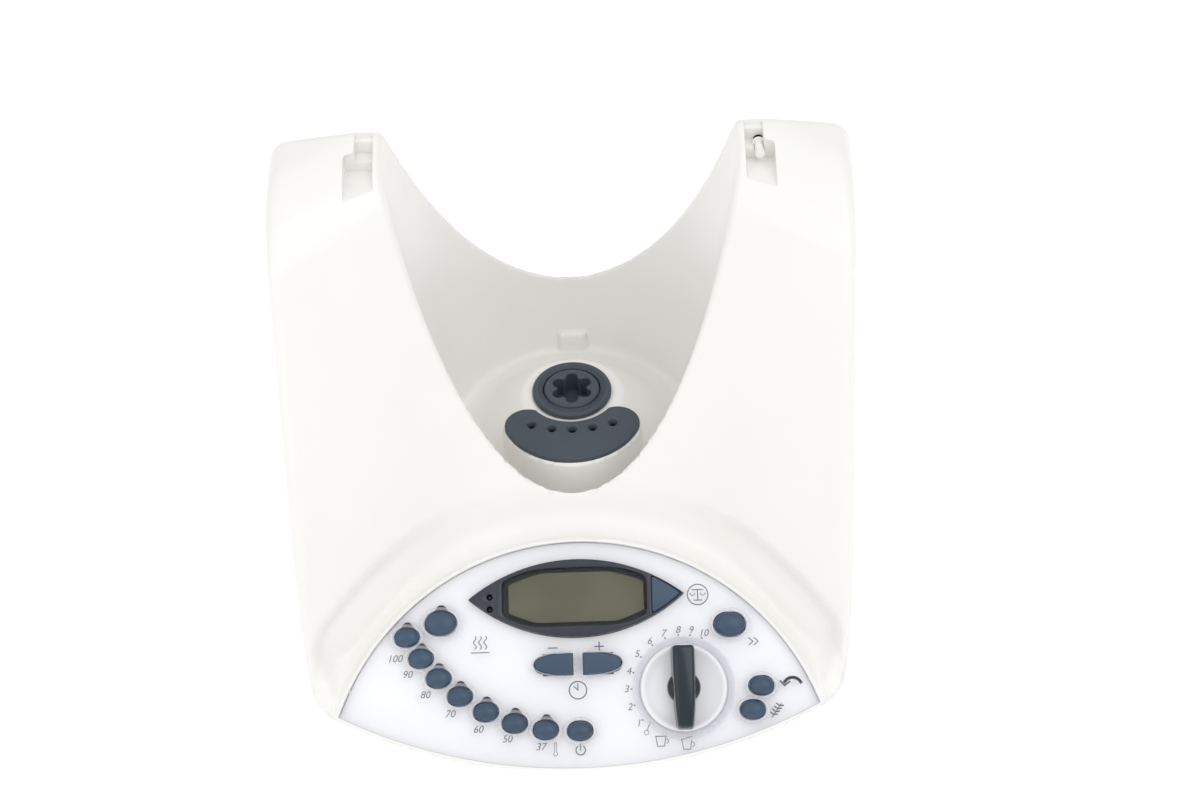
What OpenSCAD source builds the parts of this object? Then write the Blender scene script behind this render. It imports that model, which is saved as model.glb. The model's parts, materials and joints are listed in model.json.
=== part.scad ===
// Base unit of a heated cooking blender: a moulded shell with two arms round a bowl well,
// a sloping control panel, and a belt-driven blade coupling in the floor of the well.
// The origin is at the middle of the footprint, on the surface that the feet stand on.
// +X is to the right as the user faces the panel, +Y is to the back, +Z is up.

/* [Body] */
// Overall width
body_w = 285; // [280:1:345]
// Overall depth
body_d = 285; // [280:1:345]
// Overall height, to the top of the arms
body_h = 268; // [250:1:322]
// Wall of the moulded shell
wall = 3; // [2.5:0.1:3.5]
// Squareness of the footprint, as a superellipse exponent
plan_power = 5.5; // [5:0.1:7]
// How far the sides draw in towards the front
waist = 5.5; // [4:0.5:9]
// Height at which the back starts to lean forward
back_knee_z = 58; // [50:1:66]
// Lean of the back face from upright
back_lean = 21; // [18:0.5:23]
// Radius of the crown across both arm tops
crown_r = 740; // [600:10:900]
// Gap from the surface to the edge of the shell
foot_gap = 5; // [4:0.5:7]

/* [Front face] */
// Slope of the front faces of the arms from level
front_slope = 63; // [60:0.5:66]
// Radius of the hollow between the two front faces
hollow_r = 160; // [150:1:180]
// Half width of the hollow, beyond which the front faces run straight
hollow_half = 80; // [76:1:86]
// Distance of the saddle in front of the well axis
saddle_reach = 69; // [67:0.5:73]
// Height of the saddle between the two arms
saddle_z = 97; // [94:0.5:100]
// Slope of the underside below the panel from level
keel_slope = 40; // [36:1:44]

/* [Bowl well] */
// Distance of the well axis behind the middle of the body
well_y = 46; // [42:0.5:48]
// Radius of the well at the arm tops
well_top_r = 86; // [84:0.5:103]
// Radius of the well at its floor
well_floor_r = 65; // [63:0.5:68]
// Height of the outer edge of the well floor
well_floor_z = 72; // [70:0.5:74]
// Height of the raised middle of the well floor
pedestal_z = 101.5; // [99:0.5:103]
// Radius of the raised middle at its top
pedestal_r = 26; // [24:0.5:30]

/* [Lid lug slots] */
// Width of the neck of a slot
slot_neck_w = 9; // [7:0.5:9.5]
// Width of the pocket below the neck
slot_pocket_w = 14; // [12:0.5:16]
// Height of the pocket
slot_pocket_h = 11; // [9:0.5:12]
// Depth of the neck below the arm top
slot_neck_h = 5; // [4:0.5:7]
// Skin between the slot and the well
slot_skin = 3; // [2.5:0.5:4]

/* [Control panel] */
// Slope of the panel from level
panel_slope = 34.5; // [33:0.5:36]
// Height of the front edge of the panel at the middle
panel_edge_z = 24; // [22:0.5:27]
// Half width of the panel rim, corner to middle
panel_half_w = 122; // [118:0.5:124]
// Distance of the rim corners up the slope
panel_corner_v = 29.5; // [28:0.5:31]
// Length of the panel rim up the slope
panel_len = 116.7; // [114:0.5:118]
// Width of the rim round the clear cover
rim_w = 2.4; // [2:0.1:3]
// Thickness of the clear cover
cover_t = 2; // [1.6:0.1:2.4]
// Depth from the cover's face to the printed backing
backing_depth = 4.4; // [4:0.1:5]
// Thickness of the printed backing
backing_t = 1; // [0.8:0.1:1.2]
// Radius of the cove behind the panel
cove_r = 11; // [9:0.5:12]

/* [Buttons] */
// Width of a small button
button_w = 12.6; // [10:0.1:12.8]
// Height of a small button
button_h = 9.8; // [8:0.1:10]
// Width of a large button
large_button_w = 16; // [13:0.1:17]
// Height of a large button
large_button_h = 12.4; // [10:0.1:13]
// Gap round a button in the panel
button_gap = 0.3; // [0.25:0.05:0.35]
// Height of a button above the cover
button_proud = 1.2; // [0.8:0.1:1.6]
// Travel of a button
button_travel = 1; // [0.8:0.1:1.2]
// Radius of the arc that the temperature buttons lie on
button_arc_r = 93.5; // [93:0.1:94]

/* [Speed knob] */
// Radius of the turning dish
knob_r = 21.5; // [18:0.5:23]
// Radius of the knob's shaft
knob_shaft_r = 3; // [2.5:0.1:4]
// Height of the knob's handle above the cover
knob_h = 14; // [10:0.5:16]

/* [Drive] */
// Radius of the coupling seal flange
seal_r = 21; // [19:0.5:23]
// Radius of the turning coupling
coupling_r = 15; // [13.5:0.1:16]
// Distance across the lobes of the coupling socket
socket_across = 22.5; // [20:0.1:24]
// Width of one lobe of the socket
lobe_w = 6.6; // [6:0.1:7]
// Depth of the socket
socket_depth = 12; // [10:0.5:13]
// Radius of the drive shaft
shaft_r = 5; // [4:0.1:6]
// Radius of the drive bearings
bearing_r = 13; // [12:0.5:16]
// Width of a drive bearing
bearing_w = 8; // [7:0.5:9]
// Radius of the driven pulley
driven_r = 34; // [30:0.5:38]
// Radius of the motor pulley
pulley_r = 10; // [9:0.5:13]
// Width of the belt
belt_w = 9; // [7:0.5:10]
// Thickness of the belt
belt_t = 2; // [1.5:0.1:2.5]

/* [Motor] */
// Radius of the motor case
motor_r = 27; // [22:0.5:27.5]
// Height of the motor case
motor_h = 72; // [60:1:80]
// Radius of the motor shaft
motor_shaft_r = 4; // [3:0.1:5]

/* [Contacts] */
// Distance between neighbouring contact holes
contact_pitch = 10.6; // [9:0.1:11]
// Radius of a contact hole
contact_r = 1.8; // [1.5:0.1:2.2]
// Radius of each rounded end of the contact strip
strip_end_r = 11.7; // [10:0.1:12]
// Half distance between the rounded ends
strip_half = 23.5; // [22:0.5:25]

/* [Hidden] */
$fn = 64;
big = 600;      // longer than anything in the object
eps = 0.01;     // overlap between pieces of one solid
fit = 0.05;     // running clearance on a radius
gap = 0.4;      // clearance between separate mouldings

// ---- Body ----
half_w = body_w / 2;
half_d = body_d / 2;
crown_z = body_h + crown_r - sqrt(crown_r * crown_r - well_top_r * well_top_r);
back_top_y = half_d - (body_h - back_knee_z) * tan(back_lean);
saddle_y = well_y - saddle_reach;
plate_t = 3;
plate_z = foot_gap + plate_t;

// The footprint: a superellipse whose sides draw in towards the front
waist_from = 88;
waist_len = 120;
function side_x(y) = half_w - waist * sin(90 * min(1, max(0, (waist_from - y) / waist_len)));
function plan_x(y) = side_x(y) * pow(1 - pow(abs(y) / half_d, plan_power), 1 / plan_power);
function plan_y(t) = sign(sin(t)) * pow(abs(sin(t)), 2 / plan_power);
function plan_point(i, t) = [
    (side_x(half_d * plan_y(t)) - i) * sign(cos(t)) * pow(abs(cos(t)), 2 / plan_power),
    (half_d - i) * plan_y(t)
];
plan_steps = 96;
module plan(i) {
    polygon([for (k = [0:plan_steps - 1]) plan_point(i, 360 * k / plan_steps)]);
}

// Radius of the well at a height
well_taper = (well_top_r - well_floor_r) / (body_h - well_floor_z);
function well_r(z) = well_floor_r + (z - well_floor_z) * well_taper;

// ---- Panel frame: x across, v up the slope, h out of the panel ----
module on_panel(x = 0, v = 0, h = 0) {
    translate([0, -half_d, panel_edge_z]) rotate([panel_slope, 0, 0]) translate([x, v, h]) children();
}
rise = panel_len - panel_corner_v;
low_r = (panel_half_w * panel_half_w + panel_corner_v * panel_corner_v) / (2 * panel_corner_v);
high_r = (panel_half_w * panel_half_w + rise * rise) / (2 * rise);
high_v = panel_len - high_r;
module lens(i) {
    intersection() {
        translate([0, low_r]) circle(low_r - i, $fn = 180);
        translate([0, high_v]) circle(high_r - i, $fn = 180);
    }
}

// ---- Body form, drawn in by a distance i ----
module side_profile(i) {
    rotate([90, 0, 90]) translate([0, 0, -big / 2]) linear_extrude(big)
        polygon([
            [-half_d - 1, -big / 4], [half_d - i, -big / 4],
            [half_d - i, back_knee_z - i * tan(back_lean / 2)],
            [back_top_y - i / cos(back_lean), body_h], [back_top_y - i / cos(back_lean) - 12, crown_z],
            [-half_d - 1, crown_z]
        ]);
}
module crown(i) {
    translate([0, 0, crown_z - crown_r]) rotate([90, 0, 0]) cylinder(r = crown_r - i, h = big, center = true, $fn = 240);
}
keel_r = low_r * 1.03;
module keel(i) {
    translate([0, -half_d, panel_edge_z]) rotate([90 - keel_slope, 0, 0])
        translate([0, keel_r, 0]) cylinder(r = keel_r - i, h = 2 * big, center = true, $fn = 240);
}
hollow_turn = asin(hollow_half / hollow_r);
module hollow(i) {
    r = hollow_r + i;
    edge = [r * sin(hollow_turn), r * cos(hollow_turn) - hollow_r];
    far = edge + 400 * [cos(hollow_turn), -sin(hollow_turn)];
    translate([0, saddle_y, saddle_z]) rotate([front_slope - 90, 0, 0])
        translate([0, 0, -big]) linear_extrude(2 * big) {
            intersection() {
                translate([0, -hollow_r]) circle(r, $fn = 180);
                translate([-edge[0], -big]) square([2 * edge[0], 2 * big]);
            }
            polygon([
                [-edge[0] - eps, edge[1]], [-far[0], far[1]], [-far[0], -big], [far[0], -big],
                [far[0], far[1]], [edge[0] + eps, edge[1]], [edge[0] - 1, edge[1] - 1], [1 - edge[0], edge[1] - 1]
            ]);
        }
}
shelf_r = high_r + 16;
shelf_h = 7;
module above_panel(i) {
    on_panel(0, 0, -i) translate([-big / 2, -big / 2, 0]) cube([big, big, big]);
    on_panel(0, high_v, -shelf_h - i) difference() {
        cylinder(r = big / 2, h = big);
        translate([0, 0, -1]) cylinder(r = shelf_r - i, h = big + 2, $fn = 180);
    }
}
cove_from = 60;
module cove(i) {
    intersection() {
        on_panel(0, high_v, 0) rotate_extrude($fn = 180)
            translate([high_r + cove_r - 0.4, 0]) circle(cove_r + i, $fn = 48);
        on_panel(0, cove_from - i, 0) translate([-big / 2, 0, -big / 2]) cube([big, big, big]);
    }
}
module well(i) {
    translate([0, well_y, 0]) rotate_extrude($fn = 120)
        polygon([
            [0, pedestal_z - i], [pedestal_r - i / 2, pedestal_z - i],
            [well_floor_r - 9, well_floor_z + 1.5 - i], [well_r(well_floor_z) + i, well_floor_z - i],
            [well_r(body_h + 20) + i, body_h + 20], [0, body_h + 20]
        ]);
}
slot_x = well_r(body_h - slot_neck_h) + slot_skin;
slot_end_y = well_y + 1;
slot_z = body_h - slot_neck_h - slot_pocket_h;
module lug_slots(i) {
    for (s = [-1, 1]) mirror([s < 0 ? 1 : 0, 0, 0]) {
        translate([slot_x - i, -half_d, slot_z + slot_pocket_h - 1 - i])
            cube([slot_neck_w + 2 * i, slot_end_y + half_d + i, big]);
        translate([slot_x - i, -half_d, slot_z - i])
            cube([slot_pocket_w + 2 * i, slot_end_y + half_d + i, slot_pocket_h + 2 * i]);
    }
}
module form(i, low_z) {
    difference() {
        intersection() {
            translate([0, 0, low_z]) linear_extrude(body_h + 20) plan(i);
            side_profile(i);
            crown(i);
            keel(i);
        }
        intersection() {
            hollow(i);
            above_panel(i);
        }
        intersection() {
            cove(i);
            hollow(i + cove_r / 2);
        }
        difference() {
            well(i);
            translate([0, 0, -i]) strip_pedestal(i);
        }
        lug_slots(i);
    }
}

// ---- Contact strip outline ----
strip_y = well_y - 25.5;
strip_arc_y = well_y - 14.3;
strip_low_r = 37.7;
strip_hollow_r = seal_r + 3;
module strip_shape(grow) {
    difference() {
        union() {
            for (s = [-1, 1]) translate([s * strip_half, strip_y]) circle(strip_end_r + grow);
            intersection() {
                translate([0, strip_arc_y]) circle(strip_low_r + grow, $fn = 96);
                polygon([
                    [0, strip_arc_y], [-2.1 * strip_half, 2.1 * strip_y - 1.1 * strip_arc_y], [0, -big / 4],
                    [2.1 * strip_half, 2.1 * strip_y - 1.1 * strip_arc_y]
                ]);
            }
        }
        translate([0, well_y]) circle(strip_hollow_r - grow);
    }
}
module strip_pedestal(i) {
    translate([0, 0, well_floor_z - 4]) linear_extrude(pedestal_z - well_floor_z + 4) strip_shape(2.5 - i);
}
contact_arc_r = 58;
contact_y = well_y - 30.5;
function contact_at(k) = [k * contact_pitch, contact_y + contact_arc_r - sqrt(pow(contact_arc_r, 2) - pow(k * contact_pitch, 2))];

// ---- Panel places, as [x, v] ----
arc_x = -2.8;
arc_v = 114;
function on_arc(a, r = button_arc_r) = [arc_x - r * sin(a), arc_v - r * cos(a)];
steam_at = [-67.8, 75.5];
temp_angles = [61.2, 53.4, 45.3, 36.8, 27.6, 18.2, 8.6];
power_at = on_arc(-1.8);
pair_v = 53.4;
pair_w = 18.6;
pair_h = 10.4;
pair_x = 2.7;
burst_at = [76, 70.5];
reverse_at = [90.4, 39.8];
dough_at = [85.6, 28.2];
knob_at = [52, 40];
display_v = 86.9;
display_half_w = 53.5;
display_up = 18.4;
display_down = 20.2;
screen_w = 72;
screen_low = 71.8;
screen_high = 101.2;
scale_x = 39;
small_places = concat([for (a = temp_angles) on_arc(a)], [power_at, reverse_at, dough_at]);

module oval(w, h, grow = 0) {
    r = h / 2 + grow;
    for (s = [-1, 1]) translate([s * (w - h) / 2, 0]) circle(r, $fn = 48);
    square([w - h, 2 * r], center = true);
}
module pair_shape(s, grow = 0) {
    translate([s * (pair_x - grow), pair_v]) intersection() {
        translate([s < 0 ? -2 * pair_w : 0, -pair_w]) square([2 * pair_w, 2 * pair_w]);
        union() {
            translate([s * (pair_w - pair_h / 2 + grow), 0]) oval(pair_h + 1.2, pair_h * 0.8, grow);
            translate([s * (pair_w / 2 - 2 + grow), 0]) square([pair_w - 4 + 2 * grow, pair_h + 2 * grow], center = true);
        }
    }
}
function arc_r(half, sag) = (half * half + sag * sag) / (2 * sag);
module display_shape(grow = 0) {
    up_r = arc_r(display_half_w, display_up);
    down_r = arc_r(display_half_w, display_down);
    intersection() {
        translate([0, display_v + display_up - up_r]) circle(up_r + grow, $fn = 120);
        translate([0, display_v - display_down + down_r]) circle(down_r + grow, $fn = 120);
    }
}
module scale_shape(grow = 0) {
    intersection() {
        display_shape(grow - 2);
        translate([scale_x - grow, display_v - 12 - grow]) square([20, 24 + 2 * grow]);
    }
}
module screen_shape(grow = 0) {
    intersection() {
        display_shape(grow - 2.5);
        translate([-screen_w / 2 - grow, screen_low - grow])
            square([screen_w + 2 * grow, screen_high - screen_low + 2 * grow]);
    }
}
// Every hole for a button, a distance larger than the button
module button_holes(grow) {
    for (p = small_places) translate(p) oval(button_w, button_h, grow);
    translate(steam_at) oval(large_button_w, large_button_h, grow);
    translate(burst_at) oval(large_button_w, large_button_h, grow);
    for (s = [-1, 1]) pair_shape(s, grow);
}

// ---- Panel depths, measured out of the cover's face ----
backing_h = -backing_depth;
flange_h = backing_h - backing_t - 0.3;
flange_t = 0.8;
flange_w = 0.55;
mat_h = flange_h - flange_t - button_travel - 0.3;
mat_t = 1;
board_h = mat_h - mat_t - 0.4;
board_t = 1.6;
seat_h = backing_h - backing_t;
ledge_w = 2.2;

module housing() {
    color("ivory") difference() {
        union() {
            difference() {
                form(0, foot_gap);
                form(wall, -1);
            }
            panel_seat();
            screw_posts();
            drive_posts();
        }
        on_panel(0, 0, seat_h) linear_extrude(20) lens(rim_w);
        on_panel(0, 0, seat_h - seat_t - 1) linear_extrude(20) lens(rim_w + ledge_w);
        translate([0, well_y, well_floor_z]) cylinder(r = seal_neck_r + 0.2, h = 60);
        translate([0, 0, pedestal_z - wall - 1]) linear_extrude(wall + 2) strip_shape(-3);
        screw_post_places() translate([0, 0, -1]) cylinder(r = screw_r, h = post_h - 2);
        drive_post_places() translate([0, 0, drive_plate_z]) cylinder(r = screw_r, h = 16);
        gland_place() cylinder(r = gland_r + 0.2, h = 30, center = true);
        plunger_place() translate([0, 0, -6]) cylinder(r = plunger_r + 0.3, h = 16);
    }
}

// Wall and ledge that the cover and its backing sit in
seat_t = 2;
module panel_seat() {
    intersection() {
        on_panel(0, 0, seat_h - seat_t) linear_extrude(seat_t - seat_h - 0.5) lens(0.5);
        keel(0.5);
        translate([0, 0, foot_gap]) linear_extrude(big) plan(0.5);
    }
}

// ---- Fastenings of the shell ----
screw_r = 1.8;
post_r = 5;
post_h = 34;
post_y = [-20, 84];
front_post_in = (panel_edge_z - plate_z) / tan(keel_slope) + wall + post_r + 9;
module screw_post_places() {
    for (s = [-1, 1]) for (y = post_y) translate([s * (plan_x(y) - wall - post_r + 1.5), y, 0]) children();
    for (s = [-1, 1]) translate([s * 40, -half_d + front_post_in, 0]) children();
    translate([0, half_d - wall - post_r + 1, 0]) children();
}
module screw_posts() {
    intersection() {
        screw_post_places() translate([0, 0, plate_z + gap]) cylinder(r = post_r, h = post_h);
        form(0.5, plate_z);
        translate([-big / 2, -big / 2, 0]) difference() {
            cube([big, big, plate_z + post_h]);
            translate([0, 0, panel_edge_z + 4]) cube([big, big / 2 - half_d + 60, 80]);
        }
    }
}
drive_plate_z = 38;
drive_plate_t = 4;
drive_post_at = 47;
drive_post_turns = [-10, 60, 120, 190];
module drive_post_places() {
    translate([0, well_y, 0]) for (a = drive_post_turns) rotate([0, 0, a]) translate([drive_post_at, 0, 0]) children();
}
module drive_posts() {
    intersection() {
        drive_post_places() translate([0, 0, drive_plate_z + drive_plate_t]) cylinder(r = 5, h = 60);
        form(0.5, plate_z);
    }
}

module base_plate() {
    color("gainsboro") difference() {
        intersection() {
            form(wall + gap, -1);
            translate([-big / 2, -big / 2, foot_gap]) cube([big, big, plate_t]);
        }
        for (k = [-5:5]) translate([motor_x + k * 5 - 1.2, well_y - 22, 0]) cube([2.4, 44, 20]);
        for (k = [-5:5]) translate([-motor_x + k * 5 - 1.2, well_y - 22, 0]) cube([2.4, 44, 20]);
        screw_post_places() cylinder(r = screw_r + 0.3, h = 20);
        foot_places() cylinder(r = foot_stud_r + 0.8, h = 20);
    }
}
module base_screws() {
    color("silver") screw_post_places() {
        translate([0, 0, foot_gap - 2.2]) cylinder(r = 3.4, h = 2.2);
        translate([0, 0, foot_gap - eps]) cylinder(r = screw_r, h = 22);
    }
}

// ---- Feet and scale ----
foot_r = 13;
foot_stud_r = 4;
foot_x = 84;
function foot_at(k) = k == 0 ? [0, half_d - 34] : [(k == 1 ? -1 : 1) * foot_x, -half_d + 80];
module foot_places() {
    for (k = [0:2]) translate(foot_at(k)) children();
}
cell_z = plate_z + 2;
module feet() {
    color("dimgray") foot_places() {
        cylinder(r = foot_r, h = foot_gap - 0.4);
        translate([0, 0, foot_gap - 0.4 - eps]) cylinder(r = foot_stud_r, h = cell_z - foot_gap + 0.4 + eps);
    }
}
module load_cells() {
    color("silver") foot_places() {
        translate([-7, -7, cell_z]) cube([36, 14, 8]);
        translate([17, -7, plate_z]) cube([12, 14, cell_z - plate_z + eps]);
    }
}

// ---- Panel stack ----
module panel_backing() {
    color("lavender") on_panel(0, 0, backing_h - backing_t) linear_extrude(backing_t) difference() {
        lens(rim_w + 0.3);
        button_holes(button_gap);
        translate(knob_at) circle(knob_shaft_r + 1.5);
        display_shape(0.4);
    }
}
module panel_cover() {
    color([0.9, 0.92, 0.98, 0.35]) on_panel(0, 0, -cover_t) difference() {
        linear_extrude(cover_t) difference() {
            lens(rim_w + 0.3);
            button_holes(button_gap);
            display_shape(0.3);
            translate(knob_at) circle(knob_r + dish_gap, $fn = 96);
        }
    }
}
bezel_top = 0.6;
module display_bezel() {
    color("#3a4556") on_panel(0, 0, seat_h) difference() {
        linear_extrude(bezel_top - seat_h) display_shape(0);
        translate([0, 0, -1]) linear_extrude(20) scale_shape(button_gap);
        translate([0, 0, bezel_top - seat_h - 1.2]) linear_extrude(20) screen_shape(0.15);
        translate([0, 0, -1]) linear_extrude(20) screen_shape(-2);
        for (v = [-3, 3]) translate([-43, display_v - 2.5 + v, -1]) cylinder(r = 1.6, h = 20);
    }
}
module display_window() {
    color([0.55, 0.6, 0.55, 0.35]) on_panel(0, 0, bezel_top - 1.2) linear_extrude(1) screen_shape(0);
}
module lcd_module() {
    color("darkolivegreen") on_panel(0, 0, seat_h + 1) linear_extrude(2.6) screen_shape(-2.3);
}
module panel_board() {
    color("seagreen") on_panel(0, 0, board_h - board_t) linear_extrude(board_t) difference() {
        lens(rim_w + ledge_w + 3);
        translate(knob_at) circle(knob_shaft_r + 1.5);
        for (p = panel_screw_at) translate(p) circle(screw_r + 0.3);
    }
}
module keypad_mat() {
    color("slategray") on_panel(0, 0, mat_h - mat_t) linear_extrude(mat_t) difference() {
        lens(rim_w + ledge_w + 1.5);
        translate(knob_at) circle(encoder_w * 0.75);
        for (p = panel_screw_at) translate(p) circle(screw_r + 1.2);
        for (p = light_places) translate(p) circle(1.3, $fn = 24);
        translate(buzzer_at) circle(buzzer_r + 1);
    }
}
panel_screw_at = [[-100, 38], [100, 34], [-36, 102.5], [36, 102.5]];
module panel_screws() {
    color("silver") for (p = panel_screw_at) on_panel(p[0], p[1], 0) {
        translate([0, 0, board_h - board_t - 2]) cylinder(r = 3, h = 2);
        translate([0, 0, board_h - board_t - eps]) cylinder(r = screw_r - 0.1, h = seat_h - board_h + board_t - 0.05);
    }
}
light_reach = 8.4;
light_places = concat(
    [for (a = temp_angles) on_arc(a) + [2.2, light_reach - 0.6]], [steam_at + [2.4, light_reach + 0.4]]
);
module marker_lights() {
    color("#2a2f3a") for (p = light_places) on_panel(p[0], p[1], board_h + 0.05)
        cylinder(r = 1.2, h = backing_h - backing_t - board_h - 0.2, $fn = 24);
}

// A button: a domed cap, a flange under the backing, and its travel below
module button(shape_w, shape_h) {
    translate([0, 0, flange_h + eps]) linear_extrude(button_proud - 0.4 - flange_h - eps) oval(shape_w, shape_h);
    translate([0, 0, button_proud - 0.4 - eps]) linear_extrude(0.4 + eps) oval(shape_w, shape_h, -0.5);
    translate([0, 0, flange_h - flange_t]) linear_extrude(flange_t) oval(shape_w, shape_h, flange_w);
}
module button_at(p, large = false) {
    color("#46536a") on_panel(p[0], p[1], 0)
        button(large ? large_button_w : button_w, large ? large_button_h : button_h);
}
module button_steam() { button_at(steam_at, true); }
module button_100() { button_at(on_arc(temp_angles[0])); }
module button_90() { button_at(on_arc(temp_angles[1])); }
module button_80() { button_at(on_arc(temp_angles[2])); }
module button_70() { button_at(on_arc(temp_angles[3])); }
module button_60() { button_at(on_arc(temp_angles[4])); }
module button_50() { button_at(on_arc(temp_angles[5])); }
module button_37() { button_at(on_arc(temp_angles[6])); }
module button_power() { button_at(power_at); }
module button_burst() { button_at(burst_at, true); }
module button_reverse() { button_at(reverse_at); }
module button_dough() { button_at(dough_at); }
module pair_button(s) {
    color("#46536a") on_panel(0, 0, 0) {
        translate([0, 0, flange_h]) linear_extrude(button_proud - flange_h) pair_shape(s);
        translate([0, 0, flange_h - flange_t]) linear_extrude(flange_t + eps) pair_shape(s, flange_w);
    }
}
module button_minus() { pair_button(-1); }
module button_plus() { pair_button(1); }
module button_scale() {
    color("#46536a") on_panel(0, 0, 0) {
        translate([0, 0, flange_h]) linear_extrude(button_proud - flange_h) scale_shape(0);
        translate([0, 0, flange_h - flange_t]) linear_extrude(flange_t + eps) scale_shape(1);
    }
}

// ---- Speed knob ----
dish_t = 2.4;
dish_gap = 3.9;
dish_h = backing_h + 1.2;
encoder_w = 14;
encoder_h = 6.5;
module knob_dish() {
    color("gainsboro") on_panel(knob_at[0], knob_at[1], dish_h) difference() {
        cylinder(r = knob_r, h = dish_t, $fn = 96);
        translate([0, 0, -1]) cylinder(r = knob_shaft_r, h = 20);
    }
}
handle_w = 13;
handle_tip_w = 8;
module knob_handle() {
    color("#30363f") on_panel(knob_at[0], knob_at[1], dish_h + dish_t) difference() {
        intersection() {
            cylinder(r = knob_r - 0.4, h = knob_h - dish_h - dish_t, $fn = 96);
            linear_extrude(big) polygon([
                [-handle_tip_w / 2, -knob_r - 1], [handle_tip_w / 2, -knob_r - 1], [handle_w / 2, 2],
                [handle_w / 2, knob_r + 1], [-handle_w / 2, knob_r + 1], [-handle_w / 2, 2]
            ]);
        }
        translate([0, 0, -1]) cylinder(r = knob_shaft_r, h = 8);
    }
}
module knob_shaft() {
    color("silver") on_panel(knob_at[0], knob_at[1], 0)
        translate([0, 0, board_h - board_t + 1]) cylinder(r = knob_shaft_r, h = dish_h + dish_t + 6.5 - board_h + board_t - 1);
}
module knob_encoder() {
    color("dimgray") on_panel(knob_at[0], knob_at[1], board_h - board_t - encoder_h) difference() {
        union() {
            translate([-encoder_w / 2, -encoder_w / 2, 0]) cube([encoder_w, encoder_w, encoder_h]);
            cylinder(r = knob_shaft_r + 1.3, h = encoder_h + board_t + 0.8);
        }
        translate([0, 0, encoder_h + 0.5]) cylinder(r = knob_shaft_r + fit, h = 20);
    }
}
buzzer_at = [20, 28];
buzzer_r = 6;
module buzzer() {
    color("black") on_panel(buzzer_at[0], buzzer_at[1], board_h - board_t - 7) difference() {
        cylinder(r = buzzer_r, h = 7);
        translate([0, 0, -1]) cylinder(r = 1, h = 2);
    }
}

// ---- Blade drive ----
seal_neck_r = coupling_r + 1.6;
seal_flange_t = 3;
seal_top = pedestal_z + seal_flange_t;
coupling_top = seal_top + 0.6;
coupling_h = 22;
module coupling_seal() {
    color("#363f46") translate([0, well_y, 0]) rotate_extrude($fn = 96) polygon([
        [coupling_r + 0.3, pedestal_z - wall - 0.5], [seal_neck_r, pedestal_z - wall - 0.5],
        [seal_neck_r, pedestal_z], [seal_r, pedestal_z], [seal_r, seal_top - 0.8],
        [seal_r - 0.8, seal_top], [seal_r - 2, seal_top], [seal_r - 2.6, seal_top - 0.6],
        [coupling_r + 1.2, seal_top - 0.6], [coupling_r + 0.3, seal_top - 0.6]
    ]);
}
module drive_coupling() {
    color("#2d343a") translate([0, well_y, coupling_top - coupling_h]) difference() {
        cylinder(r = coupling_r, h = coupling_h, $fn = 96);
        translate([0, 0, coupling_h - socket_depth]) {
            cylinder(r = socket_across / 2 - lobe_w / 2, h = 30);
            for (a = [30:60:330]) rotate([0, 0, a])
                translate([socket_across / 2 - lobe_w / 2, 0, 0]) cylinder(r = lobe_w / 2, h = 30, $fn = 32);
        }
        translate([0, 0, -1]) cylinder(r = shaft_r, h = coupling_h - socket_depth - 0.5);
    }
}
shaft_low_z = plate_z + 2;
shaft_top_z = coupling_top - socket_depth - 1.6;
module drive_shaft() {
    color("silver") translate([0, well_y, shaft_low_z]) cylinder(r = shaft_r, h = shaft_top_z - shaft_low_z);
}
belt_z = plate_z + 6;
pulley_w = belt_w + 3;
module pulley(r, bore) {
    difference() {
        union() {
            translate([0, 0, belt_z]) cylinder(r = r, h = pulley_w, $fn = 96);
            translate([0, 0, belt_z - 1]) cylinder(r = r + 2.5, h = 1 + eps, $fn = 96);
            translate([0, 0, belt_z + pulley_w - eps]) cylinder(r = r + 2.5, h = 1 + eps, $fn = 96);
        }
        cylinder(r = bore, h = 100);
    }
}
module driven_pulley() {
    color("gray") translate([0, well_y, 0]) pulley(driven_r, shaft_r);
}
low_bearing_z = drive_plate_z + 2;
high_bearing_z = coupling_top - coupling_h - bearing_w - 2;
module drive_bearings() {
    color("lightgray") for (z = [low_bearing_z, high_bearing_z]) translate([0, well_y, z]) difference() {
        cylinder(r = bearing_r, h = bearing_w);
        translate([0, 0, -1]) cylinder(r = shaft_r + fit, h = 30);
    }
}
housing_tube_r = bearing_r + 4;
module bearing_housing() {
    color("darkgray") translate([0, well_y, 0]) difference() {
        union() {
            translate([0, 0, drive_plate_z]) cylinder(r = drive_post_at + 7, h = drive_plate_t, $fn = 96);
            translate([0, 0, drive_plate_z]) cylinder(r = housing_tube_r, h = high_bearing_z + bearing_w - drive_plate_z);
        }
        translate([0, 0, low_bearing_z]) cylinder(r = bearing_r, h = 100);
        translate([0, 0, drive_plate_z - 1]) cylinder(r = shaft_r + 2, h = 100);
        for (a = drive_post_turns) rotate([0, 0, a])
            translate([drive_post_at, 0, 0]) cylinder(r = screw_r + 0.3, h = 100);
    }
}
module drive_screws() {
    color("silver") {
        drive_post_places() {
            translate([0, 0, drive_plate_z - 2.4]) cylinder(r = 3.4, h = 2.4);
            translate([0, 0, drive_plate_z - eps]) cylinder(r = screw_r, h = 14);
        }
    }
}

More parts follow.
